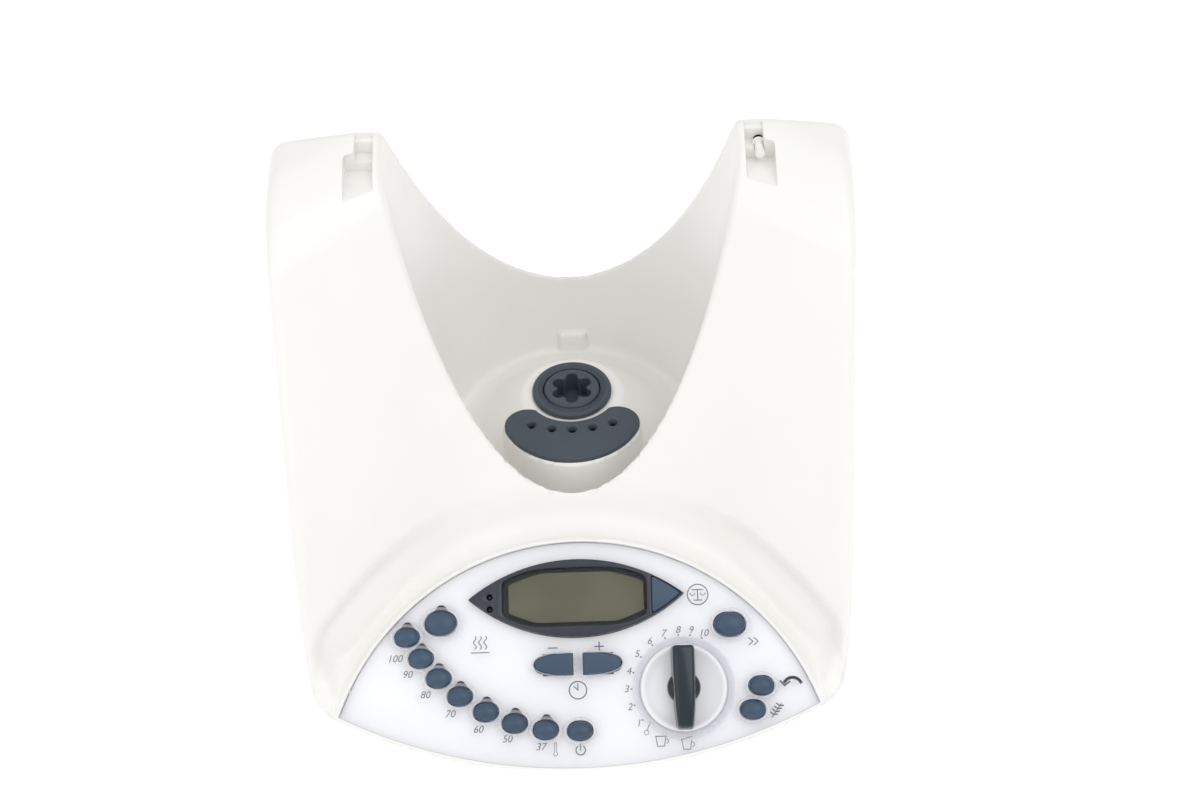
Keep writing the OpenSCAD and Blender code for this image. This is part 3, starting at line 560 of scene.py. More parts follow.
@dataclass(frozen=True)
class BodyForm:
    """The moulded body as one signed distance in millimetres, negative inside.

    Attributes:
        panel: Frame of the control panel.
        half_w: Half width of the body.
        power: Squareness of the footprint.
        waist: How far the sides draw in towards the front.
        height: Height of the arm tops.
        knee_z: Height where the back starts to lean.
        lean: Lean of the back in degrees.
        crown_r: Radius of the crown across the arms.
        low_z: Height of the lower edge.
        keel_slope: Slope of the front underside in degrees.
        well_y: Place of the bowl well behind the middle.
        floor_r: Radius of the well at its floor.
        top_r: Radius of the well at the arm tops.
        floor_z: Height of the well floor.
        stand_z: Height of the raised middle of the floor.
        rim_half: Half width of the panel, corner to corner.
        rim_corner: Place of those corners up the slope.
        rim_len: Length of the panel up the slope.
        strip_x: Middle of the contact strip's round ends, across.
        strip_ahead: How far those ends lie in front of the well's middle.
        strip_end_r: Radius of the ends.
        strip_low: How far the front edge's centre lies in front of the well's middle.
        strip_low_r: Radius of the front edge.
        strip_hollow: Radius of the back edge, round the well's middle.
    """

    panel: PanelFrame = PanelFrame()
    half_w: float = 142.5
    power: float = 5.5
    waist: float = 5.5
    height: float = 268.0
    knee_z: float = 58.0
    lean: float = 21.0
    crown_r: float = 740.0
    low_z: float = 5.0
    keel_slope: float = 40.0
    well_y: float = 46.0
    floor_r: float = 65.0
    top_r: float = 86.0
    floor_z: float = 72.0
    stand_z: float = 101.5
    rim_half: float = 122.0
    rim_corner: float = 29.5
    rim_len: float = 116.7
    strip_x: float = 23.5
    strip_ahead: float = 25.5
    strip_end_r: float = 11.7
    strip_low: float = 14.3
    strip_low_r: float = 37.7
    strip_hollow: float = 24.0

    @property
    def low_r(self) -> float:
        """Radius of the panel's lower edge."""
        return (self.rim_half**2 + self.rim_corner**2) / (2 * self.rim_corner)

    @property
    def high_r(self) -> float:
        """Radius of the panel's upper edge."""
        rise = self.rim_len - self.rim_corner
        return (self.rim_half**2 + rise**2) / (2 * rise)

    def well_r(self, z: np.ndarray | float) -> np.ndarray | float:
        """Radius of the well at a height."""
        return self.floor_r + (z - self.floor_z) * (self.top_r - self.floor_r) / (self.height - self.floor_z)

    def block(self, p: np.ndarray) -> tuple[np.ndarray, np.ndarray]:
        """Distances to the outer block's sides with its keel, and to its leaning back with its crown.

        Args:
            p: Points in millimetres.

        Returns:
            The two signed distances.
        """
        x, y, z = np.abs(p[..., 0]), p[..., 1], p[..., 2]
        half_d = self.panel.half_d
        drawn = np.clip((88.0 - y) / 120.0, 0.0, 1.0)
        side = self.half_w - self.waist * np.sin(drawn * math.pi / 2)
        plan = (x / side) ** self.power + (np.abs(y) / half_d) ** self.power
        plan = (plan ** (1 / self.power) - 1) * half_d
        tilt = math.radians(self.lean)
        back = (y - half_d) * math.cos(tilt) + (z - self.knee_z) * math.sin(tilt)
        centre_z = self.height + self.crown_r - math.sqrt(self.crown_r**2 - self.top_r**2) - self.crown_r
        crown = np.hypot(x, z - centre_z) - self.crown_r
        slope = math.radians(90 - self.keel_slope)
        keel_r = self.low_r * 1.03
        up = (y + half_d) * math.cos(slope) + (z - self.panel.edge_z) * math.sin(slope)
        keel = np.hypot(x, up - keel_r) - keel_r
        return Blend.both(plan, keel, 5.0), Blend.both(back, crown, 7.0)

    def front(self, p: np.ndarray) -> np.ndarray:
        """Distance to the hollow in front of the arms, positive behind their front faces."""
        foot_y, foot_z, bend = -23.0, 97.0, 160.0
        lean, spread = math.radians(27.0), math.radians(30.0)
        x, y, z = np.abs(p[..., 0]), p[..., 1] - foot_y, p[..., 2] - foot_z
        reach = y * math.cos(lean) - z * math.sin(lean) + bend
        arc = np.hypot(x, reach) - bend
        run = x * 0.5 + reach * math.cos(spread) - bend
        return np.where(np.arctan2(x, reach) < spread, arc, run)

    def well(self, p: np.ndarray) -> np.ndarray:
        """Distance to the bowl well, negative in the open space.

        Args:
            p: Points in millimetres.

        Returns:
            The signed distances.
        """
        x, y, z = np.abs(p[..., 0]), p[..., 1], p[..., 2]
        out = np.hypot(x, y - self.well_y)
        cone = (out - self.well_r(z)) * 0.994
        stand = Blend.both(z - self.stand_z, (out - 26.0) * 0.68 + (z - self.stand_z) * 0.73, 2.0)
        floor = Blend.either(stand, z - self.floor_z - 0.8, 7.0)
        floor = Blend.either(floor, Blend.both(self.strip_plan(x, y, 1.0), z - self.stand_z, 1.2), 2.5)
        return Blend.less(cone, floor, 5.0)

    def contacts(self) -> list[Point]:
        """Places of the five contact holes, on a shallow arc in front of the coupling."""
        bend, front_y = 58.0, self.well_y - 30.5
        return [(x, front_y + bend - math.sqrt(bend**2 - x * x)) for x in (-21.2, -10.6, 0.0, 10.6, 21.2)]

    def strip_plan(self, x: np.ndarray, y: np.ndarray, grow: float) -> np.ndarray:
        """Distance in plan to the outline of the contact strip."""
        ends = np.hypot(x - self.strip_x, y - self.well_y + self.strip_ahead) - self.strip_end_r - grow
        arc = np.hypot(x, y - self.well_y + self.strip_low) - self.strip_low_r - grow
        wedge = x * 0.4302 + (y - self.well_y + self.strip_low) * 0.9028
        hollow = self.strip_hollow - grow - np.hypot(x, y - self.well_y)
        return np.maximum(np.minimum(ends, np.maximum(arc, wedge)), hollow)

    def distance(self, p: np.ndarray) -> np.ndarray:
        """Distance to the whole body.

        Args:
            p: Points in millimetres, with the last axis holding x, y and z.

        Returns:
            The signed distances.
        """
        x, z = np.abs(p[..., 0]), p[..., 2]
        v, h = self.panel.local(p)
        out = np.hypot(x, v - self.rim_len + self.high_r)
        front = self.front(p)
        shelf = Blend.both(self.high_r + 16.0 - out, -h - 7.0, 2.0)
        open_space = Blend.both(front, Blend.either(-h, shelf, 3.0), 3.0)
        swell = np.clip((v - 30.0) / 45.0, 0.12, 1.0)
        swell = swell * swell * (3.0 - 2.0 * swell)
        tube = np.hypot(out - self.high_r - 10.6 * swell, h) - 11.0 * swell
        cove = Blend.both(tube, front - 5.5, 2.0)
        edge_r = 2.0 + 7.0 * np.clip((out - self.high_r - 4.0) / 6.0, 0.0, 1.0) * swell
        open_space = Blend.either(open_space, cove, edge_r)
        high = np.clip((z - 50.0) / 60.0, 0.0, 1.0)
        crest = np.clip((z - 190.0) / 50.0, 0.0, 1.0)
        behind = np.clip((p[..., 1] - 30.0) / 60.0, 0.0, 1.0)
        plan, top = self.block(p)
        rim_r = 1.6 + 6.0 * high
        arms = Blend.less(top, open_space, rim_r + 22.0 * crest)
        solid = Blend.both(arms, plan, rim_r + (24.0 - rim_r) * behind * (1.0 - 0.75 * crest))
        solid = Blend.less(solid, self.well(p), 3.2)
        boss = np.abs(np.stack([x, p[..., 1] - self.well_y - 66.0, z - 80.0], -1)) - np.array([6.0, 1.2, 4.0])
        boss = np.linalg.norm(np.maximum(boss, 0.0), axis=-1) - 1.8
        solid = Blend.either(solid, boss, 1.5)
        return Blend.both(solid, self.low_z - z, 1.2)

    def normals(self, p: np.ndarray, reach: float = 0.25) -> tuple[np.ndarray, np.ndarray]:
        """Gives the outward direction and distance at points.

        Args:
            p: Points in millimetres.
            reach: Half step of the differences.

        Returns:
            The unit directions and the distances.
        """
        slope = np.empty_like(p)
        for axis in range(3):
            step = np.zeros(3)
            step[axis] = reach
            slope[..., axis] = (self.distance(p + step) - self.distance(p - step)) / (2 * reach)
        size = np.linalg.norm(slope, axis=-1, keepdims=True)
        return slope / np.maximum(size, 1e-6), self.distance(p) / np.maximum(size[..., 0], 0.3)


@dataclass(frozen=True)
class LatticeSkin:
    """Draws a closed skin of four-sided faces where a distance passes through zero.

    No operator gives a body whose faces all melt into each other, so its first skin is drawn on a lattice.

    Attributes:
        distance: The signed distance in millimetres.
        low: Lowest corner of the lattice, with x at least as far out as the high corner.
        high: Highest corner.
        step: Size of a cell.
    """

    distance: Callable[[np.ndarray], np.ndarray]
    low: tuple[float, float, float]
    high: tuple[float, float, float]
    step: float

    def mesh(self, name: str) -> bpy.types.Mesh:
        """Makes the skin, in millimetres.

        Args:
            name: Name of the mesh.

        Returns:
            The closed mesh.
        """
        axes = [np.arange(a, b + self.step, self.step) for a, b in zip(self.low, self.high)]
        half = np.arange(0.0, self.high[0] + self.step, self.step)
        grid = np.stack(np.meshgrid(half, axes[1], axes[2], indexing="ij"), -1)
        values = self.distance(grid)
        values = np.concatenate([values[:0:-1], values])
        origin = np.array([-half[-1], axes[1][0], axes[2][0]])
        inside = values < 0
        cells = np.zeros(np.array(inside.shape) - 1, np.int8)
        for i in (0, 1):
            for j in (0, 1):
                for k in (0, 1):
                    cells += inside[i:, j:, k:][: cells.shape[0], : cells.shape[1], : cells.shape[2]]
        mixed = (cells > 0) & (cells < 8)
        index = np.full(mixed.shape, -1)
        index[mixed] = np.arange(mixed.sum())
        spots = np.argwhere(mixed)
        total, hits = np.zeros(spots.shape), np.zeros(len(spots))
        for axis in range(3):
            along = np.eye(3, dtype=int)[axis]
            others = [np.eye(3, dtype=int)[o] for o in range(3) if o != axis]
            for i in (0, 1):
                for j in (0, 1):
                    start = spots + i * others[0] + j * others[1]
                    a, b = values[tuple(start.T)], values[tuple((start + along).T)]
                    crossed = (a < 0) != (b < 0)
                    share = np.where(crossed, a / np.where(crossed, a - b, 1.0), 0.0)
                    total += np.where(crossed[:, None], start + share[:, None] * along, 0.0)
                    hits += crossed
        verts = origin + self.step * total / hits[:, None]
        faces = np.concatenate([self._faces(inside, index, axis) for axis in range(3)])
        mesh = bpy.data.meshes.new(name)
        mesh.from_pydata(verts, [], faces.tolist())
        return mesh

    @staticmethod
    def _faces(inside: np.ndarray, index: np.ndarray, axis: int) -> np.ndarray:
        """Joins the four cells round each lattice edge that crosses the skin.

        Args:
            inside: Whether each lattice point is inside.
            index: Vertex of each cell.
            axis: Direction of the edges.

        Returns:
            The four vertices of each face, anticlockwise from outside.
        """
        b, c = (axis + 1) % 3, (axis + 2) % 3
        cut = [slice(None)] * 3
        cut[axis] = slice(None, -1)
        low = inside[tuple(cut)]
        cut[axis] = slice(1, None)
        high = inside[tuple(cut)]
        edges = np.argwhere(low != high)
        eb, ec = np.eye(3, dtype=int)[b], np.eye(3, dtype=int)[c]
        ring = [edges - eb - ec, edges - ec, edges, edges - eb]
        quads = np.stack([index[tuple(r.T)] for r in ring], -1)
        outward = low[tuple(edges.T)]
        return np.where(outward[:, None], quads, quads[:, ::-1])


@dataclass
class Housing:
    """The moulded shell with its openings.

    Attributes:
        form: Shape of the body.
        wall: Thickness of the shell.
        cell: Cell of the outer skin.
        inner_cell: Cell of the inner skin.
        rim: Width of the rim round the panel.
        pocket: Depth of the panel's seat.
        neck: Width of a lug slot's neck.
        pocket_w: Width of its lower pocket.
        pocket_h: Height of that pocket.
        neck_h: Depth of the neck.
        skin: Wall between a slot and the well.
        slot_end: Where the pockets end, towards the back.
        neck_end: Where the necks end.
        pit_end: Where the deeper part of the necks ends.
        bearing_hole: Radius of the bearing's hole in the well floor.
        contact_hole: Radius of the holes under the contact strip.
        gland_r: Radius of the lead's outlet at the back.
        gland_at: Place of that outlet.
        plunger_hole: Radius of the lid plunger's hole.
        reach: Half width of the lattice that the skins are drawn on.
    """

    form: BodyForm = field(default_factory=BodyForm)
    wall: float = 3.0
    cell: float = 2.2
    inner_cell: float = 5.0
    rim: float = 2.4
    pocket: float = 5.4
    neck: float = 9.0
    pocket_w: float = 14.0
    pocket_h: float = 11.0
    neck_h: float = 5.0
    skin: float = 3.0
    slot_end: float = 47.0
    neck_end: float = 58.0
    pit_end: float = 54.5
    bearing_hole: float = 16.8
    contact_hole: float = 2.0
    gland_r: float = 7.2
    gland_at: tuple[float, float, float] = (-60.0, 141.5, 28.0)
    plunger_hole: float = 2.5
    reach: float = 146.0

    @property
    def slot_x(self) -> float:
        """Inner side of a lug slot."""
        return self.form.well_r(self.form.height - self.neck_h) + self.skin

    @property
    def slot_z(self) -> float:
        """Bottom of a lug slot."""
        return self.form.height - self.neck_h - self.pocket_h

    def inner(self, p: np.ndarray) -> np.ndarray:
        """Distance to the space inside the shell, which keeps a wall round the lug slots.

        Args:
            p: Points in millimetres.

        Returns:
            The signed distances.
        """
        lifted = p.copy()
        lifted[..., 2] = np.maximum(p[..., 2], self.form.low_z + self.wall + 1.0)
        space = self.form.distance(lifted) + self.wall
        runs = (
            (self.pocket_w, self.slot_end, self.slot_z),
            (self.neck, self.neck_end, self.slot_z + self.pocket_h),
            (self.neck, self.pit_end, self.slot_z + 4.5),
        )
        for width, end, low in runs:
            middle = np.array([self.slot_x + width / 2, 0.0, low + 20.0])
            half = np.array([width / 2 + self.wall, end + self.wall, 20.0 + self.wall])
            off = np.abs(np.stack([np.abs(p[..., 0]), p[..., 1], p[..., 2]], -1) - middle) - half
            slot = np.linalg.norm(np.maximum(off, 0.0), axis=-1) + np.minimum(off.max(-1), 0.0)
            space = np.maximum(space, -slot)
        return np.maximum(space, -8.0 - p[..., 2])

    def lens(self, inset: float, steps: int = 72) -> list[Point]:
        """Outline of the panel, drawn in by a distance.

        Args:
            inset: The distance.
            steps: Points along each of its two arcs.

        Returns:
            The outline, anticlockwise.
        """
        low, high = self.form.low_r - inset, self.form.high_r - inset
        low_v, high_v = self.form.low_r, self.form.rim_len - self.form.high_r
        return Outline.lens(low, low_v, high, high_v, steps)

    def cutters(self) -> list[bpy.types.Object]:
        """Makes the tools that open the shell."""
        tools = [Mesher.tool(Mesher.prism(self.lens(self.rim), -self.pocket, 12.0), self.form.panel.at())]
        well = Matrix.Translation((0.0, self.form.well_y, 0.0))
        tools.append(Mesher.tool(Mesher.rod(self.bearing_hole, 80.0, 110.0, 48), well))
        for side in (-1.0, 1.0):
            tools += self._slot_tools(side)
        for x, y in self.form.contacts():
            drill = Mesher.rod(self.contact_hole, 80.0, 104.0, 24)
            tools.append(Mesher.tool(drill, Matrix.Translation((x, y, 0.0))))
        to_back = Matrix.Rotation(math.radians(-90), 4, "X")
        gland = Mesher.rod(self.gland_r, -20.0, 20.0, 32)
        tools.append(Mesher.tool(gland, Matrix.Translation(self.gland_at) @ to_back))
        spot = (self.slot_x + self.pocket_w / 2, self.slot_end, self.slot_z + self.pocket_h / 2)
        plunger = Mesher.rod(self.plunger_hole, -6.0, 10.0, 24)
        tools.append(Mesher.tool(plunger, Matrix.Translation(spot) @ to_back))
        return tools

    def _slot_tools(self, side: float) -> list[bpy.types.Object]:
        """Makes the four tools of one lug slot: its section, the neck's deep part, its run and a notch.

        Args:
            side: -1 for the left arm and 1 for the right.

        Returns:
            The tools.
        """
        x, low, shelf = self.slot_x, self.slot_z, self.slot_z + self.pocket_h
        top = self.form.height + 10.0
        outline = [
            (x, low), (x + self.pocket_w, low), (x + self.pocket_w, shelf), (x + self.neck, shelf),
            (x + self.neck, top), (x, top),
        ]
        slot = Mesher.prism(outline, -self.slot_end, 120.0)
        Mesher.round_edges(slot, [e for e in Mesher.upright(slot, 50.0) if e.verts[0].co.y < top - 1], 1.1, 3)
        stand = Matrix.Diagonal((side, 1.0, 1.0, 1.0)) @ Matrix.Rotation(math.radians(90), 4, "X")
        bmesh.ops.transform(slot, matrix=stand, verts=slot.verts)
        bmesh.ops.recalc_face_normals(slot, faces=slot.faces)
        middle, start, neck_z = side * (x + self.neck / 2), 40.0, shelf + 0.5
        runs = ((self.neck + 0.02, self.pit_end, 3.5), (self.neck, self.neck_end, 10.0))
        blocks = [
            Mesher.block((wide, end - start, 20.0), (middle, (end + start) / 2, neck_z + raised))
            for wide, end, raised in runs
        ]
        notch_at = (middle, self.neck_end + 14.9, self.form.height + 3.5)
        blocks.append(Mesher.block((self.neck - 0.02, 30.0, 12.0), notch_at))
        return [Mesher.tool(bm) for bm in (slot, *blocks)]

    def build(self) -> bpy.types.Object:
        """Models the shell and shades it from its form.

        Returns:
            The shell, which stands for the CAD housing.
        """
        far = self.reach
        skins = (
            ("body_shell", self.form.distance, 1.0, 272.0, self.cell),
            ("tool", self.inner, -11.0, 270.0, self.inner_cell),
        )
        made = []
        for name, distance, low, high, cell in skins:
            skin = LatticeSkin(distance, (-far, -far, low), (far, far, high), cell)
            made.append(bpy.data.objects.new(name, skin.mesh(name)))
            bpy.context.scene.collection.objects.link(made[-1])
        shell, core = made
        self._settle_on_form(shell)
        for piece in made:
            piece.data.transform(Matrix.Scale(MM, 4))
        Mesher.cut(shell, [core, *self.cutters()])
        self._shade(shell)
        return Mesher.settle_in(shell, "base", BODY_WHITE, "body_white", ["housing"])

    def _settle_on_form(self, shell: bpy.types.Object) -> None:
        """Moves every vertex onto the form, by at most a millimetre a step."""
        co = np.empty(len(shell.data.vertices) * 3)
        shell.data.vertices.foreach_get("co", co)
        co = co.reshape(-1, 3)
        for _ in range(3):
            normal, off = self.form.normals(co)
            co -= normal * np.clip(off, -1.0, 1.0)[:, None]
        shell.data.vertices.foreach_set("co", co.ravel())

    def _shade(self, shell: bpy.types.Object) -> None:
        """Gives the faces on the form its true directions, and keeps the cut edges crisp."""
        Mesher.shade(shell, 30.0)
        mesh = shell.data
        co = np.empty(len(mesh.vertices) * 3)
        mesh.vertices.foreach_get("co", co)
        normal, off = self.form.normals(co.reshape(-1, 3) / MM)
        on_form = np.abs(off) < 0.12
        corner = np.empty(len(mesh.loops), int)
        mesh.loops.foreach_get("vertex_index", corner)
        start, size = np.empty(len(mesh.polygons), int), np.empty(len(mesh.polygons), int)
        mesh.polygons.foreach_get("loop_start", start)
        mesh.polygons.foreach_get("loop_total", size)
        whole = np.minimum.reduceat(on_form[corner].astype(int), start).astype(bool)
        face = np.empty(len(mesh.polygons) * 3)
        mesh.polygons.foreach_get("normal", face)
        owner = np.repeat(np.arange(len(mesh.polygons)), size)
        facing = (normal[corner] * face.reshape(-1, 3)[owner]).sum(-1) > 0.55
        keep = whole[owner] & facing
        mesh.normals_split_custom_set(np.where(keep[:, None], normal[corner], 0.0).tolist())


class Outline:
    """Closed outlines in a plane, anticlockwise, in millimetres."""

    @staticmethod
    def lens(low_r: float, low_v: float, high_r: float, high_v: float, steps: int = 48) -> list[Point]:
        """Outline between two arcs: one opens upwards, the other downwards.

        Args:
            low_r: Radius of the lower arc.
            low_v: Height of its centre.
            high_r: Radius of the upper arc.
            high_v: Height of its centre.
            steps: Points along each arc.

        Returns:
            The outline.
        """
        apart = low_v - high_v
        meet = (high_r**2 - low_r**2 + apart**2) / (2 * apart)
        half = math.sqrt(max(high_r**2 - meet**2, 0.0))
        tip = high_v + meet
        low_a = math.atan2(half, low_v - tip)
        high_a = math.atan2(half, tip - high_v)
        low = [low_a * (2 * k / steps - 1) for k in range(steps)]
        high = [high_a * (1 - 2 * k / steps) for k in range(steps)]
        under = [(low_r * math.sin(a), low_v - low_r * math.cos(a)) for a in low]
        return under + [(high_r * math.sin(a), high_v + high_r * math.cos(a)) for a in high]

    @staticmethod
    def oval(width: float, height: float, steps: int = 48, x: float = 0.0, v: float = 0.0) -> list[Point]:
        """Ellipse of a width and height round a point."""
        turns = [math.tau * k / steps for k in range(steps)]
        return [(x + width / 2 * math.cos(a), v + height / 2 * math.sin(a)) for a in turns]

    @staticmethod
    def arc(x: float, v: float, r: float, start: float, end: float, steps: int = 24) -> list[Point]:
        """Points along an arc, from and to angles in degrees."""
        turns = [math.radians(start + (end - start) * k / steps) for k in range(steps + 1)]
        return [(x + r * math.cos(a), v + r * math.sin(a)) for a in turns]

    @staticmethod
    def round_middle(
        distance: Callable[[np.ndarray, np.ndarray], np.ndarray], x: float, v: float, steps: int = 112
    ) -> list[Point]:
        """Outline where a distance passes through zero, found by looking out from a point inside.

        Args:
            distance: The signed distance in the plane.
            x: Place of the inside point across.
            v: Place of the inside point up the slope.
            steps: Points on the outline.

        Returns:
            The outline, anticlockwise.
        """
        turn = np.arange(steps) * 2.0 * math.pi / steps
        near, far = np.zeros(steps), np.full(steps, 80.0)
        for _ in range(24):
            middle = (near + far) / 2
            inside = distance(x + middle * np.cos(turn), v + middle * np.sin(turn)) < 0
            near, far = np.where(inside, middle, near), np.where(inside, far, middle)
        return [(float(a), float(b)) for a, b in zip(x + near * np.cos(turn), v + near * np.sin(turn))]


class Stroke:
    """Flat lines and words printed on the panel."""

    @staticmethod
    def line(points: Sequence[Point], width: float, low: float, high: float) -> bmesh.types.BMesh:
        """Makes a line of a width along points, as short overlapping bars.

        Args:
            points: The points.
            width: Width of the line.
            low: Height of its underside.
            high: Height of its top.

        Returns:
            The line.
        """
        bm = bmesh.new()
        for (ax, ay), (bx, by) in zip(points, points[1:]):
            bar = bmesh.ops.create_cube(bm, size=1.0)["verts"]
            run = math.hypot(bx - ax, by - ay) + width * 0.7
            bmesh.ops.scale(bm, verts=bar, vec=(run, width, high - low))
            turn = Matrix.Rotation(math.atan2(by - ay, bx - ax), 4, "Z")
            place = Matrix.Translation(((ax + bx) / 2, (ay + by) / 2, (low + high) / 2))
            bmesh.ops.transform(bm, matrix=place @ turn, verts=bar)
        return bm

    @staticmethod
    def word(text: str, x: float, v: float, size: float, low: float, high: float) -> bmesh.types.BMesh:
        """Makes slanted figures as thin solid print.

        Args:
            text: The figures.
            x: Their middle, across.
            v: Their middle, up.
            size: Size of the type.
            low: Height of the underside.
            high: Height of the top.

        Returns:
            The print.
        """
        curve = bpy.data.curves.new("word", "FONT")
        curve.body = text
        curve.size = size
        curve.shear = 0.25
        curve.extrude = (high - low) / 2
        curve.align_x = curve.align_y = "CENTER"
        curve.resolution_u = 4
        holder = bpy.data.objects.new("word", curve)
        bpy.context.scene.collection.objects.link(holder)
        bpy.context.view_layer.update()
        graph = bpy.context.evaluated_depsgraph_get()
        mesh = bpy.data.meshes.new_from_object(holder.evaluated_get(graph))
        bm = bmesh.new()
        bm.from_mesh(mesh)
        bpy.data.objects.remove(holder)
        bpy.data.curves.remove(curve)
        bpy.data.meshes.remove(mesh)
        return Mesher.shift(bm, x, v, (low + high) / 2)


# --- Control panel ---


@dataclass(frozen=True)
class Key:
    """One oval key: its name, place on the panel and size."""

    name: str
    x: float
    v: float
    width: float = 12.6
    height: float = 9.2


@dataclass
class Panel:
    """The clear cover, print, display and keys of the control panel.

    Attributes:
        housing: The shell that it sits in.
        arc_x: Middle of the arc of keys.
        arc_v: Height of that middle.
        arc_r: Radius of the arc.
        turns: Places of the temperature keys on the arc, in degrees.
        names: Their figures.
        display_v: Middle of the display up the slope.
        display_half: Half width of the display.
        display_up: Its rise over the middle.
        display_down: Its drop under the middle.
        knob_x: Middle of the knob, across.
        knob_v: Middle of the knob, up the slope.
        knob_hole: Radius of the knob's opening.
        figures: Places of the figures 1 to 10 round the knob, in degrees from the foot.
        seat: Floor of the panel's seat.
        print_low: Height of the print's underside.
        print_high: Height of the print's top.
    """

    housing: Housing
    arc_x: float = -2.8
    arc_v: float = 114.0
    arc_r: float = 93.5
    turns: tuple[float, ...] = (61.2, 53.4, 45.3, 36.8, 27.6, 18.2, 8.6)
    names: tuple[str, ...] = ("100", "90", "80", "70", "60", "50", "37")
    display_v: float = 86.9
    display_half: float = 53.5
    display_up: float = 18.4
    display_down: float = 20.2
    knob_x: float = 52.0
    knob_v: float = 40.0
    knob_hole: float = 25.4
    figures: tuple[float, ...] = (54.0, 72.0, 90.0, 108.0, 127.0, 145.0, 161.0, 176.0, 189.0, 202.0)
    seat: float = -5.4
    print_low: float = 0.006
    print_high: float = 0.05

    @property
    def at(self) -> Callable[..., Matrix]:
        """The panel frame's placing method."""
        return self.housing.form.panel.at

    def on_arc(self, turn: float) -> Point:
        """Place on the arc of keys at an angle in degrees."""
        a = math.radians(turn)
        return self.arc_x - self.arc_r * math.sin(a), self.arc_v - self.arc_r * math.cos(a)

    def keys(self) -> list[Key]:
        """Lists every oval key."""
        keys = [Key(f"button_{name}", *self.on_arc(turn)) for name, turn in zip(self.names, self.turns)]
        return keys + [
            Key("button_power", *self.on_arc(-1.8)), Key("button_steam", -67.8, 75.5, 16.0, 12.0),
            Key("button_burst", 76.0, 70.5, 16.0, 12.0), Key("button_reverse", 90.4, 39.8),
            Key("button_dough", 85.6, 28.2),
        ]

    def display_arcs(self) -> tuple[float, float]:
        """Radii of the display's lower and upper arcs."""
        across = self.display_half**2
        low = (across + self.display_down**2) / (2 * self.display_down)
        return low, (across + self.display_up**2) / (2 * self.display_up)

    def display_outline(self, grow: float) -> list[Point]:
        """Outline of the display's dark frame."""
        low_r, high_r = self.display_arcs()
        low_v = self.display_v - self.display_down + low_r
        high_v = self.display_v + self.display_up - high_r
        return Outline.lens(low_r + grow, low_v, high_r + grow, high_v, 40)

    def screen_outline(self, grow: float) -> list[Point]:
        """Outline of the screen's opening, with round corners."""

        def distance(x: np.ndarray, v: np.ndarray) -> np.ndarray:
            """Distance to the opening."""
            ends = np.maximum(71.8 - grow - v, v - 101.2 - grow)
            sides = Blend.both(np.abs(x + 0.8) - 36.2 - grow, ends, 1.6)
            return Blend.both(sides, self.display_lens(x, v) + 2.0 - grow, 1.8)

        return Outline.round_middle(distance, 0.0, self.display_v)

    def scale_outline(self, grow: float) -> list[Point]:
        """Outline of the pointed key at the end of the display."""

        def distance(x: np.ndarray, v: np.ndarray) -> np.ndarray:
            """Distance to the key."""
            return Blend.both(37.8 - grow - x, self.display_lens(x, v) + 0.9 - grow, 1.4)

        return Outline.round_middle(distance, 42.0, self.display_v)

    def display_lens(self, x: np.ndarray, v: np.ndarray) -> np.ndarray:
        """Distance to the pointed outline of the display."""
        low_r, high_r = self.display_arcs()
        low = np.hypot(x, v - self.display_v + self.display_down - low_r) - low_r
        high = np.hypot(x, v - self.display_v - self.display_up + high_r) - high_r
        return Blend.both(low, high, 1.5)

    def pair_outline(self, side: float, grow: float) -> list[Point]:
        """Outline of the minus or plus key: flat towards the middle, drawn out to a tip."""
        width, half, root, middle = 19.0 + 2 * grow, 5.2 + grow, 2.7 - grow, 53.4
        curve = [(width * k / 20, half * math.sqrt(max(0.0, 1 - (k / 20) ** 2.4))) for k in range(21)]
        points = [(root + x, middle - y) for x, y in curve]
        points += [(root + x, middle + y) for x, y in reversed(curve[:-1])]
        return points if side > 0 else [(-x, y) for x, y in reversed(points)]

    def build(self) -> None:
        """Builds every piece of the panel."""
        self._cover()
        self._display()
        self._print()
        self._lights()
        self._keys()

    def _cover(self) -> None:
        """Models the clear cover with its openings, a grey band painted as the shaded gap round it, and the
        collars of its holes.
        """
        cover = Mesher.object("cover_lens", Mesher.prism(self.housing.lens(2.75), -2.0, 0.0, 0.3), self.at())
        holes = [Outline.oval(k.width + 1.0, k.height + 1.0, 48, k.x, k.v) for k in self.keys()]
        holes += [self.pair_outline(side, 0.5) for side in (-1.0, 1.0)]
        holes.append(self.display_outline(0.3))
        holes.append(Outline.oval(2 * self.knob_hole, 2 * self.knob_hole, 96, self.knob_x, self.knob_v))
        Mesher.cut(cover, [Mesher.tool(Mesher.prism(hole, -3, 1), self.at()) for hole in holes])
        Mesher.settle_in(cover, "base", CLEAR_COVER, "clear_cover", ["panel_cover"], 32.0)
        # Painted shade: this grey band fills the gap round the cover so that it shows as the shaded line of
        # the gap.
        seal = self._band(self.housing.lens(2.4), self.housing.lens(2.8), -1.6, -0.12)
        Mesher.settle_in(Mesher.object("cover_gap_shade", seal, self.at()), "base", GAP_SHADE_GREY, "dark_rubber")
        collars = [self._collar(k.x, k.v, k.width + 0.9, k.height + 0.9) for k in self.keys()]
        for side in (-1.0, 1.0):
            outer, inner = self.pair_outline(side, 1.3), self.pair_outline(side, 0.45)
            collars.append(self._band(outer, inner, -0.2, 0.35, 0.25))
        lips = Mesher.object("hole_collars", Mesher.join(collars), self.at())
        Mesher.settle_in(lips, "base", COVER_EDGE, "clear_cover", angle=50.0)

